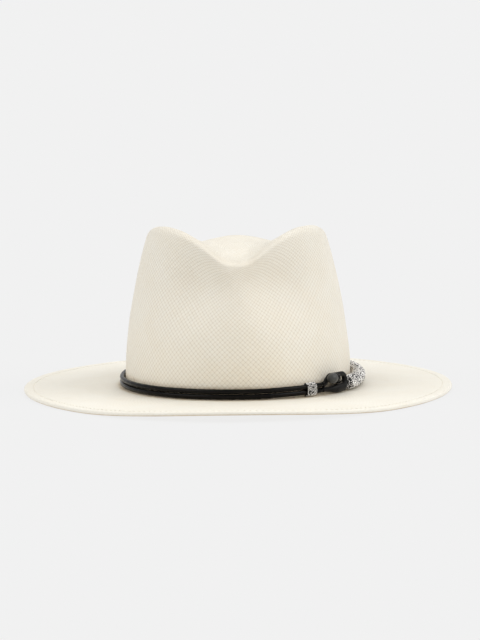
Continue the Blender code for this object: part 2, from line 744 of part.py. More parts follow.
def clear_scene():
    for thing in list(bpy.data.objects):
        bpy.data.objects.remove(thing, do_unlink=True)


def build():
    clear_scene()
    add_straw_body()
    add_brim_wire()
    add_hem_stitching()
    add_sweatband()
    add_sweatband_reed()
    add_sweatband_stitching()
    add_sweatband_bow()
    add_size_tab()
    add_cord("cord_upper", CORD_SPACING / 2)
    add_cord("cord_lower", -CORD_SPACING / 2)
    add_cord_keeper()
    add_closure_loop()
    add_toggle_head()
    add_toggle_neck()
    add_tube_parts()


build()
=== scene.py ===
"""Straw panama hat with a teardrop crown, a wired hem, a leather sweatband and a beaded leather cord band.

The hat's front faces -Y and +X is the wearer's left. Angles round the crown start at the front and grow
towards +X. All lengths are in metres.
"""

import math

import bmesh
import bpy
import numpy as np
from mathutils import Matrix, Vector


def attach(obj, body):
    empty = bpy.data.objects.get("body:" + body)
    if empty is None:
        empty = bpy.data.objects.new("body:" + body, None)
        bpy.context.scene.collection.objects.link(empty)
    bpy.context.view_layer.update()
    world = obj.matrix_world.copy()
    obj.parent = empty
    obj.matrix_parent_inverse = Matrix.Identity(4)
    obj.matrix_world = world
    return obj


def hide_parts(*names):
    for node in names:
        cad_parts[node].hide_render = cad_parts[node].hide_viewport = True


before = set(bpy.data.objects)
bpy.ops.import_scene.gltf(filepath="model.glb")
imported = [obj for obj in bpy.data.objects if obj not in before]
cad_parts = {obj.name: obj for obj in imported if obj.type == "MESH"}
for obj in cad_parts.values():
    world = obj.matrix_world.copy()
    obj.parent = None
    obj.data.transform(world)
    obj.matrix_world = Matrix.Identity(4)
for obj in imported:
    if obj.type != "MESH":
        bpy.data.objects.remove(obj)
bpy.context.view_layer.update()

MM = 0.001
DEG = math.pi / 180
TURN = 2 * math.pi

# Crown
CROWN_HALF_WIDTH = 84.0 * MM
CROWN_HALF_LENGTH = 102.6 * MM
EGG = 0.03
STRAW = 1.1 * MM
TAPER = 0.228
TAPER_POWER = 1.9
TOP_HEIGHT = 120.9 * MM
TILT = 0.22
TILT_REACH = 60 * MM
REAR_ROUNDING = 7.0
FRONT_CUPPING = 0.75
CUPPING_LEVEL = 45 * MM
REAR_BLEND_START = -10 * MM
REAR_BLEND_END = 50 * MM
SHOULDER_FRONT = 7.0 * MM
SHOULDER_REAR = 30 * MM
SHOULDER_WALL = 110 * MM
SHOULDER_TOP = 66 * MM
TOP_SHARE = 0.62
ARC_SHARE = 1.45
DENT_DEPTH = 30.5 * MM
DENT_HALF_WIDTH = 28.5 * MM
DENT_POWER = 1.75
DENT_FLOOR_SHARE = 0.11
DENT_FLOOR_HALF_WIDTH = 8 * MM
DENT_FADE_START = -45 * MM
DENT_FADE_END = 62 * MM
DENT_HEIGHT_POWER = 3
PINCH_SIDE = 38 * MM
PINCH_HEIGHT = 88 * MM
PINCH_DEPTH = 14 * MM
PINCH_LENGTH = 31 * MM
PINCH_WIDTH = 25 * MM
PINCH_RUN = (0.5, -0.866)
PINCH_IN = 0.83
PINCH_ACROSS = 0.5
PINCH_CENTRE_BLEND = 16 * MM
PINCH_FADE_START = 20 * MM
PINCH_FADE_END = 50 * MM

# Brim and hem
BRIM_WIDTH = 76.0 * MM
BREAK_SIDE = 4.0 * MM
BREAK_FRONT = 5.9 * MM
BREAK_FILLET = 3.0 * MM
EDGE_TOP = 3.2 * MM
BRIM_FALL_POWER = 1.4
HEM_LAYER = 1.0 * MM
HEM_WIDTH = 9.0 * MM
HEM_STITCH_INSET = 7.0 * MM
HEM_GROOVE_DEPTH = 0.14 * MM
HEM_GROOVE_WIDTH = 0.9 * MM
HEM_STITCHES = 236
WIRE_CHANNEL = (EDGE_TOP - STRAW - HEM_LAYER) / 2
CHANNEL_END = BRIM_WIDTH - HEM_LAYER - WIRE_CHANNEL
BRIM_WAVE = 0.25 * MM
FRONT_LIFT = 4.9 * MM
FRONT_LIFT_REACH = 45 * DEG

# Painted shade: darker, warmer straw low on the crown, down the middle of the front, above and under the
# band, on the brim by the crown and under the brim's edge
LOW_CROWN_SHADE = 0.24
LOW_CROWN_SHADE_START = 8 * MM
LOW_CROWN_SHADE_RISE = 15 * MM
FRONT_SHADE = 0.16
FRONT_SHADE_REACH = 60 * MM
FRONT_SHADE_HALF_WIDTH = 48 * MM
BREAK_SHADOW = 0.62
BREAK_SHADOW_START = 4.2 * MM
BREAK_SHADOW_REACH = 2.6 * MM
BAND_SHADE = 0.36
BAND_SHADE_LOW = 13.4 * MM
BAND_SHADE_HIGH = 16.4 * MM
BRIM_SHADE = 0.25
BRIM_SHADE_REACH = 12 * MM
EDGE_UNDERSIDE_SHADE = 0.95
CROWN_UNEVENNESS = 0.24 * MM
BRIM_UNEVENNESS = 0.12 * MM

# Sweatband
GAP = 0.3 * MM
LEATHER = 1.2 * MM
SWEATBAND_DROP = 5.0 * MM
SWEATBAND_TOP = 0.185
REED_RADIUS = 0.7 * MM
SWEAT_BACK = STRAW + GAP + 0.08 * MM
SWEAT_FACE = STRAW + GAP + LEATHER + 0.35 * MM
SWEAT_FOLD_SHARE = 0.14
SWEAT_STITCH_RISE = 2.5 * MM
SWEAT_STITCHES = 150
REAR = 180 * DEG
BOW_HEIGHT = 17 * MM
TAB_ANGLE = 158 * DEG
TAB_HALF_ANGLE = 4.5 * DEG
TAB_LOW = 12 * MM
TAB_HIGH = 24 * MM

# Hatband
CORD_RADIUS = 1.8 * MM
CORD_SPACING = 3.9 * MM
CORD_OFFSET = 2.5 * MM
CORD_RISE = 4.35 * MM
KEEPER_ANGLE = 38 * DEG
KEEPER_OFFSET = 3.4 * MM
KEEPER_RISE = 5.45 * MM
KEEPER_PLAY = 0.4 * MM
KEEPER_HALF_ANGLE = 2.8 * DEG
KEEPER_ZONE_START = 6 * DEG
KEEPER_ZONE_END = 26 * DEG
CORD_FRONT_ANGLE = 46 * DEG
TUBE_START = 64 * DEG
TUBE_END = 126 * DEG
TUBE_OFFSET = 5.95 * MM
TUBE_RISE = 5.95 * MM
TUBE_RADIUS = 5.6 * MM
CAP_ANGLE = 1.4 * DEG
CORD_MERGE_ANGLE = 16 * DEG
TUBE_BEAD = 0.62 * MM
TUBE_BEAD_SHARES = (0.46, 0.26, 0.28)
TUBE_BASE_RADIUS = 4.75 * MM
KEEPER_BEAD = 0.52 * MM
KEEPER_BEAD_SHARES = (0.62, 0.24, 0.14)
KEEPER_SLEEVE = 0.3 * MM

# Loop and toggle
LOOP_RADIUS = 2.1 * MM
LOOP_START_RADIUS = 1.85 * MM
LOOP_LOW_RADIUS = 3.1 * MM
LOOP_HIGH_RADIUS = 1.75 * MM
LOOP_START = 46.5 * DEG
LOOP_SPREAD_ANGLE = 47.0 * DEG
LOOP_OPEN_ANGLE = 51.5 * DEG
LOOP_END = 61.9 * DEG
LOOP_LOW = 8.2 * MM
LOOP_HIGH = 18.3 * MM
LOOP_END_OFFSET = 6.3 * MM
HEAD_ANGLE = 48.6 * DEG
HEAD_OFFSET = 9.9 * MM
HEAD_HEIGHT = 17.35 * MM
HEAD_RADIUS = 3.9 * MM
HEAD_HALF_LENGTH = 4.2 * MM
NECK_RADIUS = 1.3 * MM
NECK_ROOT_RADIUS = 2.5 * MM
NECK_STRAIGHT = 1.9 * MM
NECK_STOPS = (
    (53.4 * DEG, 8.2 * MM, 15.5 * MM),
    (55.4 * DEG, 5.4 * MM, 14.0 * MM),
    (57.8 * DEG, 3.0 * MM, 12.6 * MM),
    (60.2 * DEG, 2.2 * MM, 11.6 * MM),
    (62.2 * DEG, 2.4 * MM, 10.9 * MM),
    (63.2 * DEG, 3.1 * MM, 10.5 * MM),
)
NECK_END_OFFSET = 3.6 * MM

# Weave: how many straws cross a ring round the hat, fewer towards the middle of the top
AROUND = 400
TOP_END = 0.004
CROWN_STRANDS = 152
BRIM_STRANDS_IN = 176
BRIM_STRANDS_OUT = 236
BRIM_STRAND_CHANGE = 30 * MM
TOP_RING_WIDE = 46 * MM
TOP_RING_NARROW = 23 * MM
TOP_MIDDLE = 11 * MM
WEAVE_RISE = 1.2
WEAVE_DEPTHS = {"crown": 0.62, "brim_in": 0.2, "brim_out": 0.1}

# View
ELEVATION = 7 * DEG
DISTANCE = 4.5
PIXEL = 0.748 * MM
ROLL = -0.6 * DEG
AIM_SIDE = 2.0 * MM
AIM_RISE = 51.7 * MM
SENSOR = 36.0
FILM = 640

# Light: two wide suns from the sides and a narrower one from behind and above
FLOOR_HALF = 40.0
FLOOR_TONE = 0.08
FLOOR_GLOW = 0.7836
WORLD_GLOW = 0.6
SUNS = (
    ("key", (0.85, -0.22, 0.75), 1.30, 40 * DEG),
    ("fill", (-0.85, -0.22, 0.85), 1.0, 50 * DEG),
    ("top", (0.1, 0.5, 0.85), 0.42, 25 * DEG),
)


def smooth(low, high, value):
    t = np.clip((value - low) / (high - low), 0, 1)
    return t * t * (3 - 2 * t)


def oval(theta, offset=0.0):
    c = np.cos(theta)
    s = np.sin(theta)
    dx = CROWN_HALF_WIDTH * (c - EGG * np.cos(2 * theta))
    dy = CROWN_HALF_LENGTH * s
    length = np.hypot(dx, dy)
    x = CROWN_HALF_WIDTH * s * (1 - EGG * c) + offset * dy / length
    y = -CROWN_HALF_LENGTH * c - offset * dx / length
    return x, y


def break_height(theta):
    return BREAK_SIDE + (BREAK_FRONT - BREAK_SIDE) * np.cos(theta) ** 2


def brim_top(theta, offset):
    share = np.clip(offset / BRIM_WIDTH, 0, 1)
    return EDGE_TOP + (break_height(theta) - EDGE_TOP) * (1 - share) ** BRIM_FALL_POWER


def brim_wave(theta, offset):
    """How far the brim stands off the table: its front edge curls up, the rest is almost flat."""
    share = np.clip(offset / BRIM_WIDTH, 0, 1)
    from_front = np.abs((theta + np.pi) % TURN - np.pi)
    rise = (1 + np.cos(np.pi * np.clip(from_front / FRONT_LIFT_REACH, 0, 1))) / 2
    wave = BRIM_WAVE * (1 + np.cos(4 * theta)) / 2
    return share**2 * (FRONT_LIFT * rise + wave * (1 - rise))


def open_crown_profile(theta, v):
    rear = smooth(0.45, 1.0, (1 - np.cos(theta)) / 2)
    shoulder = SHOULDER_FRONT + (SHOULDER_REAR - SHOULDER_FRONT) * rear
    high = shoulder / SHOULDER_WALL
    wide = shoulder / SHOULDER_TOP
    wall = 1 - high
    arc = ARC_SHARE * high
    top = (1 - TAPER) * (1 - wide) * TOP_SHARE
    s = v * (wall + arc + top)
    turn = np.clip((s - wall) / arc, 0, 1) * np.pi / 2
    h = np.where(s < wall, s, wall + high * np.sin(turn))
    r = (1 - TAPER * h**TAPER_POWER) * (1 - wide * (1 - np.cos(turn)))
    return r * (1 - np.clip((s - wall - arc) / top, 0, 1)), h


def crown(theta, v):
    """A point of the crown's outer face: v is 0 at the brim's fillet and 1 at the middle of the top."""
    r, h = open_crown_profile(theta, v)
    bx, by = oval(theta)
    x = r * bx
    y = r * by
    foot = break_height(theta) + BREAK_FILLET
    top = TOP_HEIGHT - TILT * TILT_REACH * np.tanh(y / TILT_REACH)
    rear = smooth(REAR_BLEND_START, REAR_BLEND_END, y)
    top = top - REAR_ROUNDING * x * x * rear + FRONT_CUPPING * (x * x - CUPPING_LEVEL**2) * (1 - rear)
    z = foot + h * (top - foot)
    side = np.hypot(x, PINCH_CENTRE_BLEND) - PINCH_SIDE
    rise = z - PINCH_HEIGHT
    along = side * PINCH_RUN[0] + rise * PINCH_RUN[1]
    across = rise * PINCH_RUN[0] - side * PINCH_RUN[1]
    pinch = PINCH_DEPTH * np.exp(-((along / PINCH_LENGTH) ** 2) - (across / PINCH_WIDTH) ** 2)
    pinch = pinch * smooth(PINCH_FADE_START, PINCH_FADE_END, -y)
    x = x - np.tanh(x / PINCH_CENTRE_BLEND) * PINCH_ACROSS * pinch
    y = y + PINCH_IN * pinch
    fade = 1 - smooth(DENT_FADE_START, DENT_FADE_END, y)
    sides = np.exp(-(np.abs(x / DENT_HALF_WIDTH) ** DENT_POWER))
    floor = DENT_FLOOR_SHARE * np.exp(-((x / DENT_FLOOR_HALF_WIDTH) ** 2))
    dent = DENT_DEPTH * fade * (sides - floor)
    return np.stack([x, y, z - dent * h**DENT_HEIGHT_POWER], axis=-1)


def crown_normal(theta, v):
    step = 1e-3
    near = np.clip(v, 0, 1 - 2 * step)
    low = np.maximum(near - step, 0)
    along = crown(theta, near + step) - crown(theta, low)
    around = crown(theta + step, near) - crown(theta - step, near)
    normal = np.cross(around, along)
    return normal / np.linalg.norm(normal, axis=-1, keepdims=True)


def place(theta, offset, height):
    x, y = oval(theta, offset)
    return np.stack([x, y, height + 0 * x], axis=-1)


def unevenness(points):
    """A gentle hand-blocked unevenness between -1 and 1, the same each time."""
    rng = np.random.default_rng(11)
    total = np.zeros(points.shape[:-1])
    waves = 16
    for _ in range(waves):
        direction = rng.normal(size=3)
        direction = direction / np.linalg.norm(direction)
        length = rng.uniform(16, 60) * MM
        total = total + np.sin(points @ direction * TURN / length + rng.uniform(0, TURN))
    return total / waves * 2


# ---------------------------------------------------------------- meshes


def make_object(name, points, faces, look):
    mesh = bpy.data.meshes.new(name)
    mesh.from_pydata(np.asarray(points).reshape(-1, 3).tolist(), [], faces)
    mesh.polygons.foreach_set("use_smooth", np.ones(len(mesh.polygons), dtype=bool))
    for one in look if isinstance(look, (list, tuple)) else [look]:
        mesh.materials.append(one)
    made = bpy.data.objects.new(name, mesh)
    bpy.context.scene.collection.objects.link(made)
    return made


def face_outwards(made):
    work = bmesh.new()
    work.from_mesh(made.data)
    bmesh.ops.recalc_face_normals(work, faces=work.faces)
    work.to_mesh(made.data)
    work.free()
    return made


def grid_faces(rows, columns, wrap_rows=False, wrap_columns=True):
    i = np.arange(rows if wrap_rows else rows - 1)
    j = np.arange(columns if wrap_columns else columns - 1)
    i, j = np.meshgrid(i, j, indexing="ij")
    up = (i + 1) % rows
    right = (j + 1) % columns
    corners = (i * columns + j, i * columns + right, up * columns + right, up * columns + j)
    return np.stack(corners, axis=-1).reshape(-1, 4).tolist()


def frames(path, closed=False):
    if closed:
        ahead = np.roll(path, -1, axis=0) - np.roll(path, 1, axis=0)
    else:
        ahead = np.gradient(path, axis=0)
    ahead = ahead / np.linalg.norm(ahead, axis=1, keepdims=True)
    side = np.cross(ahead, np.array([0.0, 0.0, 1.0]))
    side = side / np.linalg.norm(side, axis=1, keepdims=True)
    return side, np.cross(side, ahead), ahead


def loops_about(path, side, up, width, height, sides):
    """An oval ring of points about each point of a path."""
    turn = np.arange(sides) * TURN / sides
    across = np.cos(turn)[None, :, None] * np.broadcast_to(width, len(path))[:, None, None]
    rise = np.sin(turn)[None, :, None] * np.broadcast_to(height, len(path))[:, None, None]
    return path[:, None, :] + across * side[:, None, :] + rise * up[:, None, :]


def round_loops(path, width, height, sides):
    side, up, _ = frames(path)
    return loops_about(path, side, up, width, height, sides)


def rod(name, loops, look):
    rows, columns = loops.shape[:2]
    faces = grid_faces(rows, columns)
    faces.append(tuple(range(columns)))
    faces.append(tuple(range((rows - 1) * columns, rows * columns)))
    return face_outwards(make_object(name, loops, faces, look))


def ring(name, loops, look):
    rows, columns = loops.shape[:2]
    return face_outwards(make_object(name, loops, grid_faces(rows, columns, wrap_rows=True), look))


def joined(name, parts, look, choice=None):
    """Many closed bits, each (points, faces), as one mesh."""
    points = []
    faces = []
    first = 0
    for bit_points, bit_faces in parts:
        points.append(bit_points)
        faces.extend([tuple(k + first for k in face) for face in bit_faces])
        first += len(bit_points)
    made = make_object(name, np.concatenate(points), faces, look)
    if choice is not None:
        made.data.polygons.foreach_set("material_index", choice)
    return made


# ---------------------------------------------------------------- materials


class Nodes:
    """Builds one Principled material from small chained node calls."""

    def __init__(self, name, roughness=0.5, metallic=0.0):
        self.material = bpy.data.materials.new(name)
        self.material.use_nodes = True
        self.tree = self.material.node_tree
        self.shader = self.tree.nodes["Principled BSDF"]
        self.set(Roughness=roughness, Metallic=metallic)

    def put(self, socket, value):
        if isinstance(value, bpy.types.NodeSocket):
            self.tree.links.new(value, socket)
        elif isinstance(value, tuple) and len(value) == 3 and len(socket.default_value) == 4:
            socket.default_value = (*value, 1.0)
        else:
            socket.default_value = value

    def node(self, kind, inputs=None, **settings):
        """A new node, with its settings and the inputs given by number or name."""
        made = self.tree.nodes.new("ShaderNode" + kind)
        for name, value in settings.items():
            setattr(made, name, value)
        for which, value in (inputs or {}).items():
            self.put(made.inputs[which], value)
        return made

    def math(self, operation, first, second=0.0, third=0.0):
        return self.node("Math", {0: first, 1: second, 2: third}, operation=operation).outputs[0]

    def mix_number(self, factor, first, second):
        return self.node("Mix", {0: factor, 2: first, 3: second}).outputs[0]

    def mix(self, factor, first, second):
        return self.node("Mix", {0: factor, 6: first, 7: second}, data_type="RGBA").outputs[2]

    def place(self, stretch=(1.0, 1.0, 1.0)):
        where = self.node("TexCoord").outputs["Object"]
        return self.node("Mapping", {"Vector": where, "Scale": stretch}).outputs[0]

    def noise(self, scale, detail=3.0, rough=0.55, vector=None):
        vector = self.place() if vector is None else vector
        inputs = {"Scale": scale, "Detail": detail, "Roughness": rough, "Vector": vector}
        return self.node("TexNoise", inputs).outputs[0]

    def cells(self, scale):
        return self.node("TexVoronoi", {"Scale": scale, "Vector": self.place()}).outputs["Distance"]

    def levels(self, value, low, high, to_low=0.0, to_high=1.0):
        return self.node("MapRange", {0: value, 1: low, 2: high, 3: to_low, 4: to_high}).outputs[0]

    def bump(self, height, strength, distance):
        inputs = {"Height": height, "Strength": strength, "Distance": distance}
        self.put(self.shader.inputs["Normal"], self.node("Bump", inputs).outputs[0])

    def set(self, **values):
        """Set the shader's own inputs; an underscore stands for a space in a name."""
        for name, value in values.items():
            self.put(self.shader.inputs[name.replace("_", " ")], value)


STRAW_PALE = (0.865, 0.84, 0.76)
STRAW_WARM = (0.77, 0.66, 0.485)
# Painted shade colour for the gaps between straws
STRAW_GAP_SHADE = (0.42, 0.31, 0.18)
# Deep painted shadow colour beside the band
STRAW_DEEP_SHADE = (0.40, 0.27, 0.14)


def strand_pattern(n):
    """Pairs of flat straws over and under: their height, a tone for each straw, and its fibres."""
    split = n.node("SeparateXYZ", {0: n.node("UVMap", uv_map="weave").outputs[0]})
    a = n.math("ADD", split.outputs[0], split.outputs[1])
    b = n.math("SUBTRACT", split.outputs[0], split.outputs[1])
    cell_sum = n.math("ADD", n.math("FLOOR", a), n.math("FLOOR", b))
    over = n.math("GREATER_THAN", n.math("FLOORED_MODULO", cell_sum, 2.0), 0.5)
    across = n.mix_number(over, b, a)
    lengthwise = n.mix_number(over, a, b)
    doubled = n.math("MULTIPLY", across, 2.0)
    straw = n.math("ADD", n.math("FLOOR", doubled), n.math("MULTIPLY", over, 517.0))
    in_straw = n.math("FRACT", doubled)
    pair_edge = n.math("ABSOLUTE", n.math("MULTIPLY_ADD", n.math("FRACT", across), 2.0, -1.0))
    straw_edge = n.math("ABSOLUTE", n.math("MULTIPLY_ADD", in_straw, 2.0, -1.0))
    end = n.math("ABSOLUTE", n.math("MULTIPLY_ADD", n.math("FRACT", lengthwise), 2.0, -1.0))
    pair = n.math("SUBTRACT", 1.0, n.math("POWER", pair_edge, 4.0))
    rounded = n.math("SUBTRACT", 1.0, n.math("MULTIPLY", n.math("POWER", straw_edge, 4.0), 0.3))
    dipped = n.math("SUBTRACT", 1.0, n.math("MULTIPLY", n.math("POWER", end, 2.0), 0.55))
    height = n.math("MULTIPLY", n.math("MULTIPLY", pair, rounded), dipped)
    tone = n.node("TexWhiteNoise", noise_dimensions="1D")
    n.put(tone.inputs["W"], straw)
    fibre_at = {0: n.math("MULTIPLY", in_straw, 4.0), 1: n.math("MULTIPLY", straw, 3.7), 2: lengthwise}
    fibres = n.noise(1.0, 2.0, 0.6, n.node("CombineXYZ", fibre_at).outputs[0])
    return height, tone.outputs["Value"], fibres


def straw_material(name, warmth=0.0):
    """Woven straw: each straw a slightly different ivory, with painted shade browner low on the crown,
    down the front, along the band and under the brim's edge.
    """
    n = Nodes(name, roughness=0.6)
    height, tone, fibres = strand_pattern(n)
    # The tint attribute carries painted shade laid on the straw's points
    tint = n.node("Attribute", attribute_name="tint").outputs["Fac"]
    depth = n.node("Attribute", attribute_name="weave_depth").outputs["Fac"]
    warm = n.levels(n.noise(30.0, 4.0, 0.6), 0.35, 0.7, 0.0, 0.16)
    warm = n.math("ADD", warm, n.math("MULTIPLY", n.levels(tone, 0.0, 1.0, 0.0, 0.22), depth))
    # Painted shade from the tint attribute warms the colour
    warm = n.math("ADD", warm, n.math("ADD", tint, warmth))
    colour = n.mix(warm, STRAW_PALE, STRAW_WARM)
    colour = n.mix(n.levels(fibres, 0.3, 0.7, 0.0, 0.12), colour, STRAW_WARM)
    # Deep painted shadow beside the band, broken up by noise
    deep_shade = n.math("ADD", tint, n.levels(n.noise(90.0, 4.0, 0.7), 0.3, 0.7, -0.22, 0.22))
    colour = n.mix(n.levels(deep_shade, 0.5, 1.1, 0.0, 0.85), colour, STRAW_DEEP_SHADE)
    # Painted shade in the gaps between the straws
    gap_shade = n.math("MULTIPLY", n.levels(height, 0.0, 0.6, 0.85, 0.0), depth)
    roughness = n.levels(fibres, 0.3, 0.7, 0.5, 0.68)
    n.set(Base_Color=n.mix(gap_shade, colour, STRAW_GAP_SHADE), Roughness=roughness, Sheen_Weight=0.06)
    relief = n.math("ADD", height, n.math("MULTIPLY", fibres, 0.14))
    n.bump(n.math("MULTIPLY", relief, depth), 0.8, 0.35 * MM)
    return n.material


def leather_material(name, dark, light, grain, roughness, wear, wear_colour, relief=0.12 * MM, gloss=0.5):
    """Leather with pebbled grain, creases and slight wear."""
    n = Nodes(name, roughness=roughness)
    pebbles = n.cells(grain)
    creases = n.noise(grain * 0.22, 5.0, 0.6)
    patch = n.noise(60.0, 3.0)
    rub = n.noise(240.0, 4.0, 0.65)
    colour = n.mix(n.levels(patch, 0.3, 0.7), dark, light)
    n.set(Base_Color=n.mix(n.levels(rub, 0.56, 0.75, 0.0, wear), colour, wear_colour))
    n.set(Roughness=n.levels(creases, 0.3, 0.7, roughness - 0.07, roughness + 0.1))
    height = n.math("ADD", n.levels(pebbles, 0.0, 0.6), n.math("MULTIPLY", creases, 0.8))
    n.bump(height, 0.5, relief)
    n.set(Specular_IOR_Level=gloss)
    return n.material


def thread_material(name, colour, deeper, twist=2600.0):
    n = Nodes(name, roughness=0.75)
    fibres = n.noise(twist, 2.0, 0.6)
    n.set(Base_Color=n.mix(n.levels(fibres, 0.3, 0.7), colour, deeper))
    n.bump(fibres, 0.6, 0.08 * MM)
    n.set(Sheen_Weight=0.2)
    return n.material


def ribbon_material(name, colour, deeper):
    """Ribbed ribbon: fine cords across its width."""
    n = Nodes(name, roughness=0.55)
    inputs = {"Scale": 420.0, "Distortion": 0.4, "Vector": n.place()}
    wave = n.node("TexWave", inputs, bands_direction="X")
    ribs = wave.outputs[1]
    n.set(Base_Color=n.mix(ribs, deeper, colour))
    n.bump(ribs, 0.5, 0.12 * MM)
    n.set(Sheen_Weight=0.3)
    return n.material


def bead_material(name, colour, deeper, roughness, metallic):
    n = Nodes(name, roughness=roughness, metallic=metallic)
    tint = n.noise(700.0, 2.0)
    n.set(Base_Color=n.mix(n.levels(tint, 0.35, 0.65), colour, deeper))
    n.set(Roughness=n.levels(n.noise(2400.0, 2.0), 0.3, 0.7, roughness - 0.05, roughness + 0.15))
    n.bump(n.noise(1500.0, 2.0), 0.25, 0.05 * MM)
    n.set(Coat_Weight=0.25, Coat_Roughness=0.15)
    return n.material


def metal_material(name, colour, deeper, roughness, metallic=1.0):
    n = Nodes(name, roughness=roughness, metallic=metallic)
    brushed = n.noise(900.0, 3.0, 0.6, n.place((1.0, 1.0, 6.0)))
    n.set(Base_Color=n.mix(n.levels(brushed, 0.3, 0.7), colour, deeper))
    n.set(Roughness=n.levels(brushed, 0.3, 0.7, roughness - 0.06, roughness + 0.12))
    n.bump(brushed, 0.2, 0.03 * MM)
    return n.material


looks = {
    "straw": straw_material("straw_weave"),
    "straw_inside": straw_material("straw_weave_inside", 0.12),
    "straw_thread": thread_material("hem_thread", (0.88, 0.85, 0.76), (0.78, 0.72, 0.60)),
    "tan_leather": leather_material(
        "sweatband_leather", (0.44, 0.27, 0.15), (0.58, 0.38, 0.22), 1500.0, 0.5, 0.35, (0.68, 0.50, 0.33)
    ),
    "tan_thread": thread_material("sweatband_thread", (0.74, 0.60, 0.42), (0.55, 0.41, 0.25)),
    "reed": thread_material("reed_cloth", (0.76, 0.67, 0.50), (0.60, 0.50, 0.34), 1500.0),
    "ribbon": ribbon_material("bow_ribbon", (0.66, 0.54, 0.38), (0.46, 0.35, 0.22)),
    "tab": thread_material("tab_cloth", (0.86, 0.83, 0.76), (0.74, 0.70, 0.62), 1800.0),
    "black_leather": leather_material(
        "cord_leather", (0.003, 0.003, 0.003), (0.007, 0.006, 0.005),
        1900.0, 0.2, 0.2, (0.035, 0.029, 0.024), 0.05 * MM, 0.07,
    ),
    "loop_leather": leather_material(
        "loop_leather", (0.006, 0.006, 0.006), (0.013, 0.012, 0.011),
        1500.0, 0.32, 0.25, (0.05, 0.046, 0.04), 0.06 * MM, 0.1,
    ),
    "knob_leather": leather_material(
        "knob_leather", (0.018, 0.019, 0.018), (0.034, 0.035, 0.033),
        1500.0, 0.38, 0.3, (0.08, 0.08, 0.074), 0.06 * MM, 0.5,
    ),
    "silver": bead_material("bead_silver", (0.88, 0.87, 0.86), (0.72, 0.70, 0.68), 0.2, 1.0),
    "pearl": bead_material("bead_white", (0.90, 0.88, 0.85), (0.82, 0.79, 0.75), 0.25, 0.0),
    "gunmetal": bead_material("bead_dark", (0.05, 0.047, 0.044), (0.02, 0.019, 0.018), 0.3, 0.6),
    "tube_base": thread_material("tube_base", (0.022, 0.02, 0.018), (0.012, 0.011, 0.01), 1600.0),
    "cap": metal_material("cap_metal", (0.055, 0.052, 0.05), (0.03, 0.03, 0.03), 0.34),
    "wire": metal_material("wire_metal", (0.55, 0.55, 0.56), (0.42, 0.42, 0.43), 0.3),
}


def finish_piece(made, body, slot, *nodes):
    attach(made, body)
    if nodes:
        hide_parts(*nodes)
    return made


# ---------------------------------------------------------------- straw


class Rows:
    """Rows of points round the hat, each with the part of the weave that it belongs to and its tint of
    painted shade.
    """

    def __init__(self, theta):
        self.theta = theta
        self.points = []
        self.zones = []
        self.painted_shades = []

    def add(self, points, zone, tint=0.0):
        self.points.append(points)
        self.zones.append(zone)
        self.painted_shades.append(tint + 0 * self.theta)

    def add_brim(self, offset, height, tint=0.0):
        zone = "brim_in" if offset < BRIM_STRAND_CHANGE else "brim_out"
        self.add(place(self.theta, offset, height), zone, tint)


def crown_surface(theta, v, depth):
    """The crown's straw at a depth below its outside, with its slight unevenness."""
    v = np.full_like(theta, v)
    points = crown(theta, v)
    return points + crown_normal(theta, v) * (unevenness(points) * CROWN_UNEVENNESS - depth)[:, None]


def crown_painted_shade(points):
    # Painted shade: warmer and darker low on the crown, down the middle of the front and just above the
    # band
    low = LOW_CROWN_SHADE * np.exp(-(points[:, 2] - LOW_CROWN_SHADE_START) / LOW_CROWN_SHADE_RISE)
    middle = np.exp(-((points[:, 0] / FRONT_SHADE_HALF_WIDTH) ** 2))
    front = FRONT_SHADE * middle * smooth(0, FRONT_SHADE_REACH, -points[:, 1])
    return low + front + BAND_SHADE * (1 - smooth(BAND_SHADE_LOW, BAND_SHADE_HIGH, points[:, 2]))


def brim_surface(theta, offset):
    """Height of the brim's top, slightly uneven, with the groove that the hem's stitches lie in."""
    base = brim_top(theta, offset) + brim_wave(theta, offset)
    from_groove = offset - (BRIM_WIDTH - HEM_STITCH_INSET)
    dip = HEM_GROOVE_DEPTH * np.exp(-((from_groove / HEM_GROOVE_WIDTH) ** 2))
    uneven = BRIM_UNEVENNESS * unevenness(place(theta, offset, base))
    return base - dip + uneven * smooth(BREAK_FILLET, 4 * BREAK_FILLET, offset)


def add_outside(rows):
    """From the middle of the top down the crown and out over the brim."""
    theta = rows.theta
    for v in 1 - np.linspace(TOP_END, 1, 150):
        tint = crown_painted_shade(crown(theta, np.full_like(theta, v)))
        rows.add(crown_surface(theta, v, 0.0), "crown", tint)
    for angle in np.linspace(0, 90, 7)[1:] * DEG:
        offset = BREAK_FILLET * (1 - np.cos(angle))
        height = break_height(theta) + BREAK_FILLET * (1 - np.sin(angle))
        # The fillet under the band gets painted shadow from the cords
        rows.add(place(theta, offset, height), "crown", BREAK_SHADOW)
    near_groove = BRIM_WIDTH - HEM_STITCH_INSET - 3 * MM
    wide = np.linspace(BREAK_FILLET, near_groove, 44)[1:]
    fine = np.linspace(near_groove, BRIM_WIDTH - EDGE_TOP / 2, 22)[1:]
    for offset in np.concatenate([wide, fine]):
        # Painted shadow under the cords on the brim, and painted warm shade on the brim near the crown
        beyond = max(offset - BREAK_SHADOW_START, 0.0) / BREAK_SHADOW_REACH
        tint = BREAK_SHADOW * math.exp(-(beyond**2)) + BRIM_SHADE * math.exp(-offset / BRIM_SHADE_REACH)
        rows.add_brim(offset, brim_surface(theta, offset), tint)


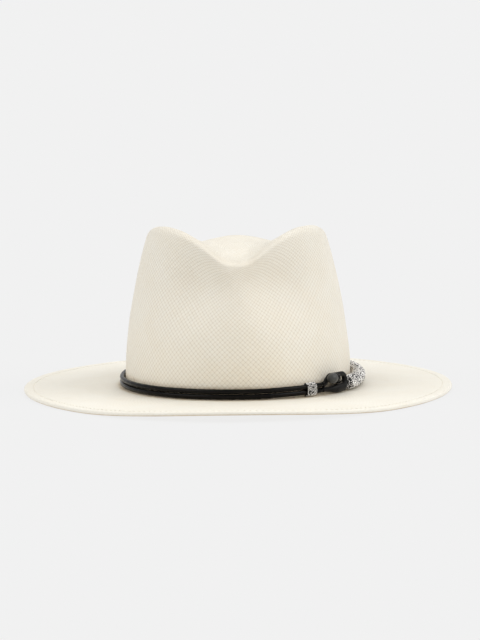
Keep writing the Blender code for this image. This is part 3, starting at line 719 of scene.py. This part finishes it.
def add_hem(rows):
    """The fold at the edge, the turned-under layer and the channel that holds the wire."""
    theta = rows.theta
    edge_radius = EDGE_TOP / 2
    fold = BRIM_WIDTH - edge_radius
    edge_low = brim_wave(theta, BRIM_WIDTH)
    edge_high = brim_surface(theta, fold) - edge_low
    for angle in np.linspace(90, -90, 13)[1:] * DEG:
        height = edge_low + edge_high * (1 + np.sin(angle)) / 2
        # Painted shade on the downward-facing underside of the edge's fold
        tint = EDGE_UNDERSIDE_SHADE * smooth(0.25, 0.85, -math.sin(angle))
        rows.add_brim(fold + edge_radius * np.cos(angle), height, tint)
    start = BRIM_WIDTH - HEM_WIDTH
    for offset in np.linspace(fold, start, 8)[1:]:
        rows.add_brim(offset, brim_wave(theta, offset))
    rows.add_brim(start - 0.12 * MM, brim_wave(theta, start) + HEM_LAYER / 2)
    for offset in np.linspace(start, CHANNEL_END + WIRE_CHANNEL - 0.6 * MM, 5):
        rows.add_brim(offset, brim_wave(theta, offset) + HEM_LAYER)
    for angle in np.linspace(-60, 60, 5) * DEG:
        offset = CHANNEL_END + WIRE_CHANNEL * np.cos(angle)
        rows.add_brim(offset, brim_wave(theta, offset) + HEM_LAYER + WIRE_CHANNEL * (1 + np.sin(angle)))


def add_inside(rows):
    """Back under the brim and up the inside of the crown."""
    theta = rows.theta
    for offset in np.linspace(CHANNEL_END, BREAK_FILLET, 40):
        rows.add_brim(offset, brim_top(theta, offset) + brim_wave(theta, offset) - STRAW)
    inner_fillet = BREAK_FILLET + STRAW
    for angle in np.linspace(90, 0, 7)[1:-1] * DEG:
        offset = BREAK_FILLET - inner_fillet * np.cos(angle)
        height = break_height(theta) + BREAK_FILLET - inner_fillet * np.sin(angle)
        rows.add(place(theta, offset, height), "crown")
    for v in 1 - np.linspace(1, TOP_END, 110):
        rows.add(crown_surface(theta, v, STRAW), "crown")


def turned_share(theta):
    """How far round the hat each angle is, by length, as a turn between 0 and 1."""
    fine = np.linspace(0, TURN, 4001)
    x, y = oval(fine)
    length = np.concatenate([[0], np.cumsum(np.hypot(np.diff(x), np.diff(y)))])
    return np.interp(theta, fine, length / length[-1])


def strands_in(zone, radius):
    if zone == "brim_in":
        return BRIM_STRANDS_IN
    if zone == "brim_out":
        return BRIM_STRANDS_OUT
    if radius > TOP_RING_WIDE:
        return CROWN_STRANDS
    if radius > TOP_RING_NARROW:
        return CROWN_STRANDS // 2
    return CROWN_STRANDS // 4


def in_strands(points):
    """Places in the square-woven middle of the top, counted in strands."""
    return points[..., :2] * CROWN_STRANDS / (TURN * (CROWN_HALF_WIDTH + CROWN_HALF_LENGTH) / 2)


def square_weave(grid, i):
    """The middle of the top is woven square, where the hat was begun."""
    corners = (grid[i], np.roll(grid[i], -1, axis=0), np.roll(grid[i + 1], -1, axis=0), grid[i + 1])
    return in_strands(np.stack(corners, axis=1)).reshape(-1, 2)


def pole_weave(row, reverse):
    middle = np.broadcast_to(row.mean(axis=0), row.shape)
    beyond = np.roll(row, -1, axis=0)
    corners = (middle, beyond, row) if reverse else (middle, row, beyond)
    return in_strands(np.stack(corners, axis=1))


def weave_map(grid, zones):
    """Weave coordinates, counted in strands, for each corner of each face."""
    around = np.linalg.norm(np.roll(grid, -1, axis=1) - grid, axis=2).sum(axis=1) / TURN
    step = np.linalg.norm(grid[1:] - grid[:-1], axis=2).mean(axis=1)
    radius = (around[1:] + around[:-1]) / 2
    rise = np.concatenate([[0], np.cumsum(step / np.maximum(radius, 2 * MM))]) / TURN * WEAVE_RISE
    share = turned_share(np.arange(AROUND + 1) * TURN / AROUND)
    blocks = []
    for i in range(len(grid) - 1):
        if radius[i] < TOP_MIDDLE:
            blocks.append(square_weave(grid, i))
            continue
        strands = strands_in(zones[i + 1], radius[i])
        u = share * strands
        low = np.full(AROUND, rise[i] * strands)
        high = np.full(AROUND, rise[i + 1] * strands)
        block = np.stack([u[:-1], low, u[1:], low, u[1:], high, u[:-1], high], axis=1)
        blocks.append(block.reshape(-1, 2))
    poles = np.stack([pole_weave(grid[0], True), pole_weave(grid[-1], False)], axis=1)
    return np.concatenate(blocks + [poles.reshape(-1, 2)])


def straw_mesh(grid):
    """Faces between the rows, and a fan of triangles at each end of them."""
    poles = np.stack([grid[0].mean(axis=0), grid[-1].mean(axis=0)])
    faces = grid_faces(len(grid), AROUND)
    pole = len(grid) * AROUND
    last = pole - AROUND
    for j in range(AROUND):
        right = (j + 1) % AROUND
        faces.append((pole, right, j))
        faces.append((pole + 1, last + j, last + right))
    points = np.concatenate([grid.reshape(-1, 3), poles])
    return make_object("straw_hat", points, faces, [looks["straw"], looks["straw_inside"]])


def point_values(mesh, name, values):
    mesh.attributes.new(name, "FLOAT", "POINT").data.foreach_set("value", values.astype(np.float32))


def add_straw():
    rows = Rows(np.arange(AROUND) * TURN / AROUND)
    add_outside(rows)
    add_hem(rows)
    add_inside(rows)
    grid = np.stack(rows.points)
    made = straw_mesh(grid)
    mesh = made.data
    inside_from = int(np.argmin(grid[:, :, 2].mean(axis=1))) + 3
    inside = np.zeros(len(mesh.polygons), dtype=np.int32)
    inside[inside_from * AROUND : (len(grid) - 1) * AROUND] = 1
    inside[-1] = 1
    mesh.polygons.foreach_set("material_index", inside)
    layer = mesh.uv_layers.new(name="weave")
    layer.data.foreach_set("uv", weave_map(grid, rows.zones).astype(np.float32).ravel())
    point_values(mesh, "tint", np.concatenate(rows.painted_shades + [np.zeros(2)]))
    depths = np.repeat([WEAVE_DEPTHS[zone] for zone in rows.zones], AROUND)
    point_values(mesh, "weave_depth", np.append(depths, [WEAVE_DEPTHS["crown"]] * 2))
    finish_piece(face_outwards(made), "hat", "straw", "straw_body")


def stitch(points, radius, flat=0.7):
    """One stitch: a thread bit that comes up, lies along and goes down again."""
    start, middle, end = points
    bits = np.stack([start, start * 0.62 + middle * 0.38, middle, end * 0.62 + middle * 0.38, end])
    girth = radius * np.array([0.55, 0.95, 1.0, 0.95, 0.55])
    faces = grid_faces(5, 6)
    faces.append(tuple(range(6)))
    faces.append(tuple(range(24, 30)))
    return round_loops(bits, girth, girth * flat, 6).reshape(-1, 3), faces


def add_hem_stitches():
    offset = BRIM_WIDTH - HEM_STITCH_INSET
    pitch = TURN / HEM_STITCHES
    lift = np.array([-0.06, 0.30, -0.06]) * MM
    rng = np.random.default_rng(3)
    bits = []
    for k in range(HEM_STITCHES):
        theta = (k + rng.uniform(-0.06, 0.06) + np.array([-0.33, 0, 0.33])) * pitch
        ground = brim_top(theta, offset) + brim_wave(theta, offset) - HEM_GROOVE_DEPTH
        points = place(theta, offset + rng.uniform(-0.1, 0.1) * MM, ground + lift)
        bits.append(stitch(points, 0.27 * MM))
    made = joined("hem_stitches", bits, looks["straw_thread"])
    finish_piece(face_outwards(made), "hat", "straw_thread", "hem_stitching")


# ---------------------------------------------------------------- sweatband


def band_inside(theta, v, depth):
    return crown(theta, np.full_like(theta, v)) - crown_normal(theta, np.full_like(theta, v)) * depth


def sweat_foot(theta):
    return break_height(theta) + BREAK_FILLET - SWEATBAND_DROP


def sweatband_surface(theta, share, depth):
    """share runs from 0 at the lower edge to 1 at the upper edge."""
    if share < SWEAT_FOLD_SHARE:
        base = band_inside(theta, 0.0, depth)
        base[:, 2] = base[:, 2] - SWEATBAND_DROP * (1 - share / SWEAT_FOLD_SHARE)
        return base
    risen = (share - SWEAT_FOLD_SHARE) / (1 - SWEAT_FOLD_SHARE)
    return band_inside(theta, risen * SWEATBAND_TOP, depth)


def add_sweatband():
    theta = np.arange(320) * TURN / 320
    shares = np.linspace(0, 1, 22)
    outwards = crown_normal(theta, np.zeros_like(theta))
    ripple = 0.16 * MM * np.sin(theta * 23 + 0.6 * np.sin(theta * 5))
    back = [sweatband_surface(theta, share, SWEAT_BACK) for share in shares]
    face = []
    for share in shares:
        thick = LEATHER * (0.62 + 0.38 * np.sin(min(share * 9, 1) * np.pi / 2))
        thin_top = 1 - 0.45 * smooth(0.9, 1.0, share)
        points = sweatband_surface(theta, share, SWEAT_BACK + thick * thin_top)
        face.append(points - outwards * (ripple * smooth(0.3, 1.0, share) * 0.5)[:, None])
    lip = (back[-1] + face[-1]) / 2
    lip[:, 2] = lip[:, 2] + 0.35 * MM
    loops = np.stack(back + [lip] + face[::-1])
    finish_piece(ring("sweatband_strip", loops, looks["tan_leather"]), "hat", "tan_leather", "sweatband")


def add_reed():
    theta = np.arange(640) * TURN / 640
    path = place(theta, -(STRAW + GAP + REED_RADIUS), sweat_foot(theta) - GAP - REED_RADIUS)
    side, up, _ = frames(path, True)
    turn = np.arange(10) * TURN / 10
    twist = 1 + 0.07 * np.cos(3 * turn[None, :] - theta[:, None] * 150)
    radius = REED_RADIUS * 0.94 * twist[:, :, None]
    loops = path[:, None, :] + radius * (
        np.cos(turn)[None, :, None] * side[:, None, :] + np.sin(turn)[None, :, None] * up[:, None, :]
    )
    finish_piece(ring("sweatband_piping", loops, looks["reed"]), "hat", "reed_cloth", "sweatband_reed")


def add_sweatband_stitches():
    depth = np.array([0.12, -0.2, 0.12]) * MM - SWEAT_BACK - LEATHER
    bits = []
    for k in range(SWEAT_STITCHES):
        theta = (k + np.array([-0.34, 0, 0.34])) * TURN / SWEAT_STITCHES
        bits.append(stitch(place(theta, depth, sweat_foot(theta) + SWEAT_STITCH_RISE), 0.24 * MM, 1.0))
    made = joined("sweatband_stitches", bits, looks["tan_thread"])
    finish_piece(face_outwards(made), "hat", "tan_thread", "sweatband_stitching")


def bow_place(along, depth, height):
    theta = REAR + along / CROWN_HALF_WIDTH
    return place(theta, -SWEAT_FACE - depth, height)


def ribbon_strip(along, depth, half_height, closed):
    """A ribbon bit that follows a path over the sweatband's face, with real thickness."""
    thick = 0.32 * MM
    step_along = np.gradient(along)
    step_depth = np.gradient(depth)
    length = np.hypot(step_along, step_depth) + 1e-9
    out_along = -step_depth / length * thick / 2
    out_depth = step_along / length * thick / 2
    loops = []
    for edge, face in ((-1, -1), (1, -1), (1, 1), (-1, 1)):
        height = BOW_HEIGHT + edge * half_height
        loops.append(bow_place(along + out_along * face, depth + out_depth * face, height))
    loops = np.stack(loops, axis=1)
    rows = len(along)
    faces = grid_faces(rows, 4, wrap_rows=closed)
    if not closed:
        faces.append((0, 1, 2, 3))
        faces.append(tuple(range((rows - 1) * 4, rows * 4)))
    return loops.reshape(-1, 3), faces


def add_bow():
    bits = []
    for side in (-1, 1):
        t = np.linspace(0, 1, 40)
        swing = t * TURN
        along = side * (1.6 * MM + 5.3 * MM * (1 - np.cos(swing)) + 0.4 * MM * np.sin(swing))
        depth = 1.05 * MM - 0.85 * MM * np.sin(swing) * np.sin(swing / 2) ** 0.5
        half = (2.0 + 2.1 * smooth(0, 1, np.sin(swing / 2))) * MM
        bits.append(ribbon_strip(along, depth, half, False))
        tail = np.linspace(0, 1, 14)
        tail_along = side * (1.2 + 9.5 * tail) * MM
        tail_depth = (0.2 + 0.25 * np.sin(tail * 5)) * MM * (1 - 0.4 * tail)
        tail_half = (1.9 + 1.5 * tail) * MM
        points, faces = ribbon_strip(tail_along, tail_depth - 0.05 * MM, tail_half, False)
        points[:, 2] = points[:, 2] - np.repeat(tail, 4) * 2.4 * MM
        bits.append((points, faces))
    turn = np.linspace(0, TURN, 25)[:-1]
    knot_along = 2.1 * MM * np.cos(turn)
    knot_depth = 1.15 * MM + 1.15 * MM * np.sin(turn)
    bits.append(ribbon_strip(knot_along, knot_depth, np.full(24, 2.5 * MM), True))
    made = joined("ribbon_bow", bits, looks["ribbon"])
    finish_piece(face_outwards(made), "hat", "ribbon", "sweatband_bow")


def add_size_tab():
    theta = np.linspace(TAB_ANGLE - TAB_HALF_ANGLE, TAB_ANGLE + TAB_HALF_ANGLE, 26)
    rows = []
    for height in np.linspace(TAB_LOW, TAB_HIGH, 14):
        curl = 0.35 * MM * np.sin((theta - theta[0]) * 22) * smooth(TAB_LOW, TAB_HIGH, height)
        rows.append(place(theta, -SWEAT_FACE - 0.25 * MM - np.abs(curl), height))
    grid = np.stack(rows)
    made = make_object("size_tag", grid, grid_faces(14, 26, wrap_columns=False), looks["tab"])
    thick = made.modifiers.new("cloth", "SOLIDIFY")
    thick.thickness = 0.35 * MM
    thick.offset = 0
    finish_piece(made, "hat", "tab_cloth", "size_tab")


# ---------------------------------------------------------------- hatband


def keeper_height():
    return break_height(KEEPER_ANGLE) + KEEPER_RISE


def band_path(theta):
    """The middle of the two cords, from the closure round the front, left and back to the beaded tube."""
    keeper = smooth(KEEPER_ZONE_START, KEEPER_ZONE_END, theta)
    rear_end = TUBE_END - TURN
    merge = 1 - smooth(rear_end, rear_end + CORD_MERGE_ANGLE, theta)
    offset = CORD_OFFSET + (KEEPER_OFFSET - CORD_OFFSET) * keeper + (TUBE_OFFSET - CORD_OFFSET) * merge
    free = break_height(theta) + CORD_RISE + (TUBE_RISE - CORD_RISE) * merge
    return place(theta, offset, free + (keeper_height() - free) * keeper)


def add_cord(name, rise, node):
    theta = np.linspace(TUBE_END - TURN + 0.2 * DEG, CORD_FRONT_ANGLE, 520)
    path = band_path(theta)
    path[:, 2] = path[:, 2] + rise
    sway = 0.06 * MM * np.sin(theta * 17 + rise * 700)
    path = path + frames(path)[0] * sway[:, None]
    radius = CORD_RADIUS * (1 + 0.018 * np.sin(theta * 61 + rise * 900) + 0.012 * np.sin(theta * 143))
    radius[:3] = radius[:3] * np.array([0.8, 0.93, 0.99])
    radius[-3:] = radius[-3:] * np.array([0.99, 0.93, 0.8])
    made = rod(name, round_loops(path, radius, radius, 20), looks["black_leather"])
    finish_piece(made, "hatband", "black_leather", node)


def smooth_line(knots, per_span):
    """A curve through every knot."""
    knots = np.asarray(knots)
    padded = np.concatenate([2 * knots[:1] - knots[1:2], knots, 2 * knots[-1:] - knots[-2:-1]])
    path = []
    for i in range(1, len(padded) - 2):
        for t in np.arange(per_span) / per_span:
            a = 2 * padded[i]
            b = (padded[i + 1] - padded[i - 1]) * t
            c = (2 * padded[i - 1] - 5 * padded[i] + 4 * padded[i + 1] - padded[i + 2]) * t * t
            d = (3 * padded[i] - padded[i - 1] - 3 * padded[i + 1] + padded[i + 2]) * t**3
            path.append((a + b + c + d) / 2)
    path.append(knots[-1])
    return np.asarray(path)


def loop_leg(theta, rise):
    spread = smooth(LOOP_SPREAD_ANGLE, LOOP_OPEN_ANGLE, theta)
    far_height = LOOP_HIGH if rise > 0 else LOOP_LOW
    height = (keeper_height() + rise) * (1 - spread) + far_height * spread
    out = smooth(LOOP_START, LOOP_END, theta)
    return place(theta, KEEPER_OFFSET + (LOOP_END_OFFSET - KEEPER_OFFSET) * out, height)


def loop_centre_line():
    half = (LOOP_HIGH - LOOP_LOW) / 2
    per_angle = np.linalg.norm(place(LOOP_END, 0, 0) - place(LOOP_END - DEG, 0, 0)) / DEG
    turn_angle = half / per_angle
    straight_end = LOOP_END - turn_angle
    theta = np.linspace(LOOP_START - 0.35 * DEG, straight_end, 34)
    low = loop_leg(theta, -CORD_SPACING / 2)
    high = loop_leg(theta, CORD_SPACING / 2)
    bend = np.linspace(-90, 90, 31)[1:-1] * DEG
    bend_theta = straight_end + turn_angle * np.cos(bend)
    out = smooth(LOOP_START, LOOP_END, bend_theta)
    bend_offset = KEEPER_OFFSET + (LOOP_END_OFFSET - KEEPER_OFFSET) * out
    end = place(bend_theta, bend_offset, (LOOP_HIGH + LOOP_LOW) / 2 + half * np.sin(bend))
    return np.concatenate([low, end, high[::-1]])


def free_loops(path, radius, sides):
    """Round loops square to a path that turns in any direction."""
    ahead = np.gradient(path, axis=0)
    ahead = ahead / np.linalg.norm(ahead, axis=1, keepdims=True)
    out = path.copy()
    out[:, 2] = 0
    out = out / np.linalg.norm(out, axis=1, keepdims=True)
    side = out - (out * ahead).sum(axis=1, keepdims=True) * ahead
    side = side / np.linalg.norm(side, axis=1, keepdims=True)
    return loops_about(path, side, np.cross(side, ahead), radius, radius, sides)


def add_loop():
    path = loop_centre_line()
    share = np.linspace(0, 1, len(path))
    low = smooth(0.10, 0.26, share) * (1 - smooth(0.36, 0.5, share))
    high = smooth(0.5, 0.62, share) * (1 - smooth(0.62, 0.88, share))
    middle = smooth(0.3, 0.45, share) * (1 - smooth(0.5, 0.66, share))
    radius = LOOP_START_RADIUS
    for other, weight in ((LOOP_LOW_RADIUS, low), (LOOP_HIGH_RADIUS, high), (LOOP_RADIUS, middle)):
        radius = radius + (other - LOOP_START_RADIUS) * weight
    made = rod("closure_noose", free_loops(path, radius, 24), looks["loop_leather"])
    finish_piece(made, "hatband", "black_leather", "closure_loop")


def head_centre():
    return place(HEAD_ANGLE, HEAD_OFFSET, HEAD_HEIGHT)


def head_axis():
    ahead = place(HEAD_ANGLE + DEG, HEAD_OFFSET, 0) - place(HEAD_ANGLE - DEG, HEAD_OFFSET, 0)
    return ahead / np.linalg.norm(ahead)


def add_head():
    turn = np.linspace(3, 177, 40) * DEG
    path = head_centre() - np.cos(turn)[:, None] * HEAD_HALF_LENGTH * head_axis()
    width = HEAD_RADIUS * np.sin(turn) ** 0.78
    seam = 1 - 0.035 * np.exp(-(((turn - 1.05) / 0.05) ** 2))
    made = rod("toggle_knob", round_loops(path, width * seam, width * seam, 32), looks["knob_leather"])
    finish_piece(made, "hatband", "black_leather", "toggle_head")


def add_neck():
    reaches = (HEAD_HALF_LENGTH - 0.6 * MM, HEAD_HALF_LENGTH + NECK_STRAIGHT)
    knots = [head_centre() + head_axis() * reach for reach in reaches]
    for angle, offset, height in NECK_STOPS:
        knots.append(place(angle, offset, height))
    for theta in (TUBE_START, TUBE_START + CAP_ANGLE):
        knots.append(place(theta, NECK_END_OFFSET, break_height(theta) + TUBE_RISE))
    path = smooth_line(knots, 12)
    share = np.linspace(0, 1, len(path))
    radius = NECK_ROOT_RADIUS + (NECK_RADIUS - NECK_ROOT_RADIUS) * smooth(0.3, 0.55, share)
    made = rod("toggle_stem", round_loops(path, radius, radius, 16), looks["black_leather"])
    finish_piece(made, "hatband", "black_leather", "toggle_neck")


def bead_shape():
    """A small round bead of four rings between two poles, as points and faces."""
    rings = 4
    sides = 8
    lean = np.arange(1, rings + 1) * math.pi / (rings + 1)
    turn = np.arange(sides) * TURN / sides
    lean, turn = np.meshgrid(lean, turn, indexing="ij")
    body = np.stack([np.sin(lean) * np.cos(turn), np.sin(lean) * np.sin(turn), np.cos(lean)], axis=-1)
    points = np.concatenate([[(0, 0, 1)], body.reshape(-1, 3), [(0, 0, -1)]])
    low = 1 + (rings - 1) * sides
    faces = [(0, 1 + j, 1 + (j + 1) % sides) for j in range(sides)]
    for a, b, c, d in grid_faces(rings, sides):
        faces.append((a + 1, d + 1, c + 1, b + 1))
    faces.extend((low + j, len(points) - 1, low + (j + 1) % sides) for j in range(sides))
    return points, faces


def scatter_beads(name, seats, radius, rng, shares):
    """One mesh of many beads. A seat is a bead's centre, the way out and the way along the row."""
    shape, faces = bead_shape()
    bits = []
    choice = []
    kinds = [looks["silver"], looks["pearl"], looks["gunmetal"]]
    for centre, out, ahead in seats:
        size = radius * rng.uniform(0.88, 1.06)
        side = np.cross(out, ahead)
        tilt = rng.uniform(-0.35, 0.35)
        across = side * math.cos(tilt) + ahead * math.sin(tilt)
        hole = ahead * math.cos(tilt) - side * math.sin(tilt)
        axes = np.stack([hole, out * 0.95, across * 0.82]) * size
        bits.append((centre + shape @ axes, faces))
        choice.extend([int(rng.choice(3, p=shares))] * len(faces))
    return joined(name, bits, kinds, choice)


def tube_path(start, end, count):
    theta = np.linspace(start, end, count)
    return place(theta, TUBE_OFFSET, break_height(theta) + TUBE_RISE)


def cap_bead_rows():
    """Rows of beads that close over the front cap: where each is, how wide and how many beads."""
    widest = TUBE_RADIUS - TUBE_BEAD
    rows = []
    for share in (0.0, 0.32, 0.64, 0.96):
        swell = 0.78 + 0.22 * math.sin(share * math.pi / 2)
        rows.append((TUBE_START + 0.3 * DEG + CAP_ANGLE * share, widest * swell))
    for swell in (0.58, 0.40):
        rows.append((TUBE_START - 0.1 * DEG, widest * swell))
    return [(theta, radius, int(TURN * radius / (2 * TUBE_BEAD * 1.04))) for theta, radius in rows]


def add_tube():
    margin = 1.7 * GAP / CROWN_HALF_LENGTH
    first = TUBE_START + CAP_ANGLE + margin
    last = TUBE_END - CAP_ANGLE - margin
    path = tube_path(first, last, 90)
    base_loops = round_loops(path, TUBE_BASE_RADIUS, TUBE_BASE_RADIUS, 28)
    base = rod("bead_tube_base", base_loops, looks["tube_base"])
    finish_piece(base, "hatband", "core_cord", "tube_core")
    length = np.linalg.norm(np.diff(path, axis=0), axis=1).sum()
    rows = int(length / (2 * TUBE_BEAD * 0.98))
    per_row = int(TURN * (TUBE_RADIUS - TUBE_BEAD) / (2 * TUBE_BEAD * 1.04))
    where = tube_path(first + 0.3 * DEG, last - 0.3 * DEG, rows)
    side, up, ahead = frames(where)
    rng = np.random.default_rng(21)
    seats = []
    for i in range(rows):
        for j in range(per_row):
            turn = (j + 0.5 * (i % 2) + rng.uniform(-0.16, 0.16)) * TURN / per_row + 0.21 * i
            out = math.cos(turn) * side[i] + math.sin(turn) * up[i]
            reach = TUBE_RADIUS - TUBE_BEAD + rng.uniform(-0.22, 0.0) * MM
            centre = where[i] + out * reach + ahead[i] * rng.uniform(-0.12, 0.12) * MM
            seats.append((centre, out, ahead[i]))
    for theta, radius, count in cap_bead_rows():
        here = tube_path(theta, theta, 1)[0]
        for j in range(count):
            turn = (j + rng.uniform(-0.16, 0.16)) * TURN / count + 40 * theta
            out = math.cos(turn) * side[0] + math.sin(turn) * up[0]
            seats.append((here + out * radius, out, ahead[0]))
    made = scatter_beads("bead_tube", seats, TUBE_BEAD, rng, TUBE_BEAD_SHARES)
    finish_piece(made, "hatband", "beads", "bead_sleeve")


def add_cap(name, start, front, node):
    """A metal end on the beaded tube, slimmer at the front, where beads cover it."""
    path = tube_path(start, start + CAP_ANGLE, 12)
    share = np.linspace(0, 1, 12)
    if not front:
        share = share[::-1]
    radius = TUBE_RADIUS * (0.80 + 0.20 * np.sin(np.clip(share * 1.5, 0, 1) * np.pi / 2))
    radius = radius - 0.28 * MM * np.exp(-(((share - 0.72) / 0.1) ** 2))
    if front:
        radius = radius - 0.75 * MM
    made = rod(name, round_loops(path, radius, radius, 40), looks["cap"])
    finish_piece(made, "hatband", "black_metal", node)


def stadium(path, radius, half_spacing, sides):
    side, up, _ = frames(path)
    turn = np.arange(sides) * TURN / sides + np.pi / sides
    across = radius * np.cos(turn)[None, :, None] * side[:, None, :]
    rise = radius * np.sin(turn) + np.sign(np.sin(turn)) * half_spacing
    return path[:, None, :] + across + rise[None, :, None] * up[:, None, :]


def stadium_place(s, wrap, half):
    """The place (across, up) and the way out at a length s along a stadium outline."""
    straight = 2 * half
    bend = TURN / 2 * wrap
    if s < straight:
        return (wrap, s - half), (1.0, 0.0)
    if straight + bend <= s < 2 * straight + bend:
        return (-wrap, half - (s - straight - bend)), (-1.0, 0.0)
    top = s < straight + bend
    turn = (s - straight) / wrap if top else math.pi + (s - 2 * straight - bend) / wrap
    out = (math.cos(turn), math.sin(turn))
    return (wrap * out[0], (half if top else -half) + wrap * out[1]), out


def add_keeper():
    """A thin leather sleeve round both cords, wound with rows of beads."""
    theta = np.linspace(KEEPER_ANGLE - KEEPER_HALF_ANGLE, KEEPER_ANGLE + KEEPER_HALF_ANGLE, 14)
    path = band_path(theta)
    inner_radius = CORD_RADIUS + KEEPER_PLAY - 0.1 * MM
    outer_radius = inner_radius + KEEPER_SLEEVE
    half = CORD_SPACING / 2
    loops = [stadium(path, outer_radius, half, 36), stadium(path, inner_radius, half, 36)[::-1]]
    sleeve = ring("keeper_sleeve", np.concatenate(loops), looks["tube_base"])
    wrap = outer_radius + KEEPER_BEAD * 0.55
    around = TURN * wrap + 4 * half
    per_row = int(around / (2 * KEEPER_BEAD))
    length = np.linalg.norm(path[-1] - path[0])
    rows = int((length - 2 * KEEPER_BEAD) / (2 * KEEPER_BEAD * 0.95))
    where = band_path(np.linspace(theta[0] + 0.3 * DEG, theta[-1] - 0.3 * DEG, rows))
    side, up, ahead = frames(where)
    rng = np.random.default_rng(5)
    seats = []
    for i in range(rows):
        for j in range(per_row):
            s = ((j + 0.5 * (i % 2) + rng.uniform(-0.12, 0.12)) / per_row % 1) * around
            (x, y), (out_x, out_y) = stadium_place(s, wrap, half)
            out = side[i] * out_x + up[i] * out_y
            seats.append((where[i] + side[i] * x + up[i] * y, out, ahead[i]))
    beads = scatter_beads("keeper_beads", seats, KEEPER_BEAD, rng, KEEPER_BEAD_SHARES)
    finish_piece(sleeve, "keeper", "silver_beads")
    finish_piece(beads, "keeper", "silver_beads", "cord_keeper")


# ---------------------------------------------------------------- stage, light and camera


def add_stage():
    corners = [(x * FLOOR_HALF, y * FLOOR_HALF, 0) for x, y in ((-1, -1), (1, -1), (1, 1), (-1, 1))]
    mesh = bpy.data.meshes.new("floor")
    mesh.from_pydata(corners, [], [(0, 1, 2, 3)])
    floor = bpy.data.objects.new("floor", mesh)
    bpy.context.scene.collection.objects.link(floor)
    floor.location = (0, 0, -0.2 * MM)
    n = Nodes("floor_look", roughness=1.0)
    n.set(Base_Color=(FLOOR_TONE,) * 3, Specular_IOR_Level=0.0)
    n.set(Emission_Color=(1.0, 1.0, 1.0), Emission_Strength=FLOOR_GLOW)
    mesh.materials.append(n.material)


def soft_sun(name, towards, strength, softness):
    data = bpy.data.lights.new(name, "SUN")
    data.energy = strength
    data.angle = softness
    lamp = bpy.data.objects.new(name, data)
    bpy.context.scene.collection.objects.link(lamp)
    lamp.rotation_euler = Vector(towards).to_track_quat("Z", "Y").to_euler()


def add_light():
    world = bpy.data.worlds.new("studio")
    bpy.context.scene.world = world
    world.use_nodes = True
    back = world.node_tree.nodes["Background"]
    back.inputs[0].default_value = (1, 1, 1, 1)
    back.inputs[1].default_value = WORLD_GLOW
    for sun in SUNS:
        soft_sun(*sun)


def add_camera():
    data = bpy.data.cameras.new("camera")
    data.sensor_width = SENSOR
    data.lens = SENSOR * DISTANCE / (PIXEL * FILM)
    data.clip_start = 0.1
    data.clip_end = 200
    camera = bpy.data.objects.new("camera", data)
    bpy.context.scene.collection.objects.link(camera)
    up = Vector((0, math.sin(ELEVATION), math.cos(ELEVATION)))
    aim = Vector((AIM_SIDE, 0, 0)) + up * AIM_RISE
    back = Vector((0, -math.cos(ELEVATION), math.sin(ELEVATION)))
    camera.location = aim + back * DISTANCE
    camera.rotation_euler = (-back).to_track_quat("-Z", "Y").to_euler()
    camera.rotation_euler.rotate_axis("Z", ROLL)
    bpy.context.scene.camera = camera


add_camera()
add_straw()
add_hem_stitches()
add_sweatband()
add_reed()
add_sweatband_stitches()
add_bow()
add_size_tab()
add_cord("leather_cord_upper", CORD_SPACING / 2, "cord_upper")
add_cord("leather_cord_lower", -CORD_SPACING / 2, "cord_lower")
add_loop()
add_head()
add_neck()
add_cap("front_cap", TUBE_START, True, "tube_front_cap")
add_cap("rear_cap", TUBE_END - CAP_ANGLE, False, "tube_rear_cap")
add_tube()
add_keeper()
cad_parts["brim_wire"].material_slots[0].material = looks["wire"]
add_stage()
add_light()
bpy.context.scene.view_settings.view_transform = "Standard"
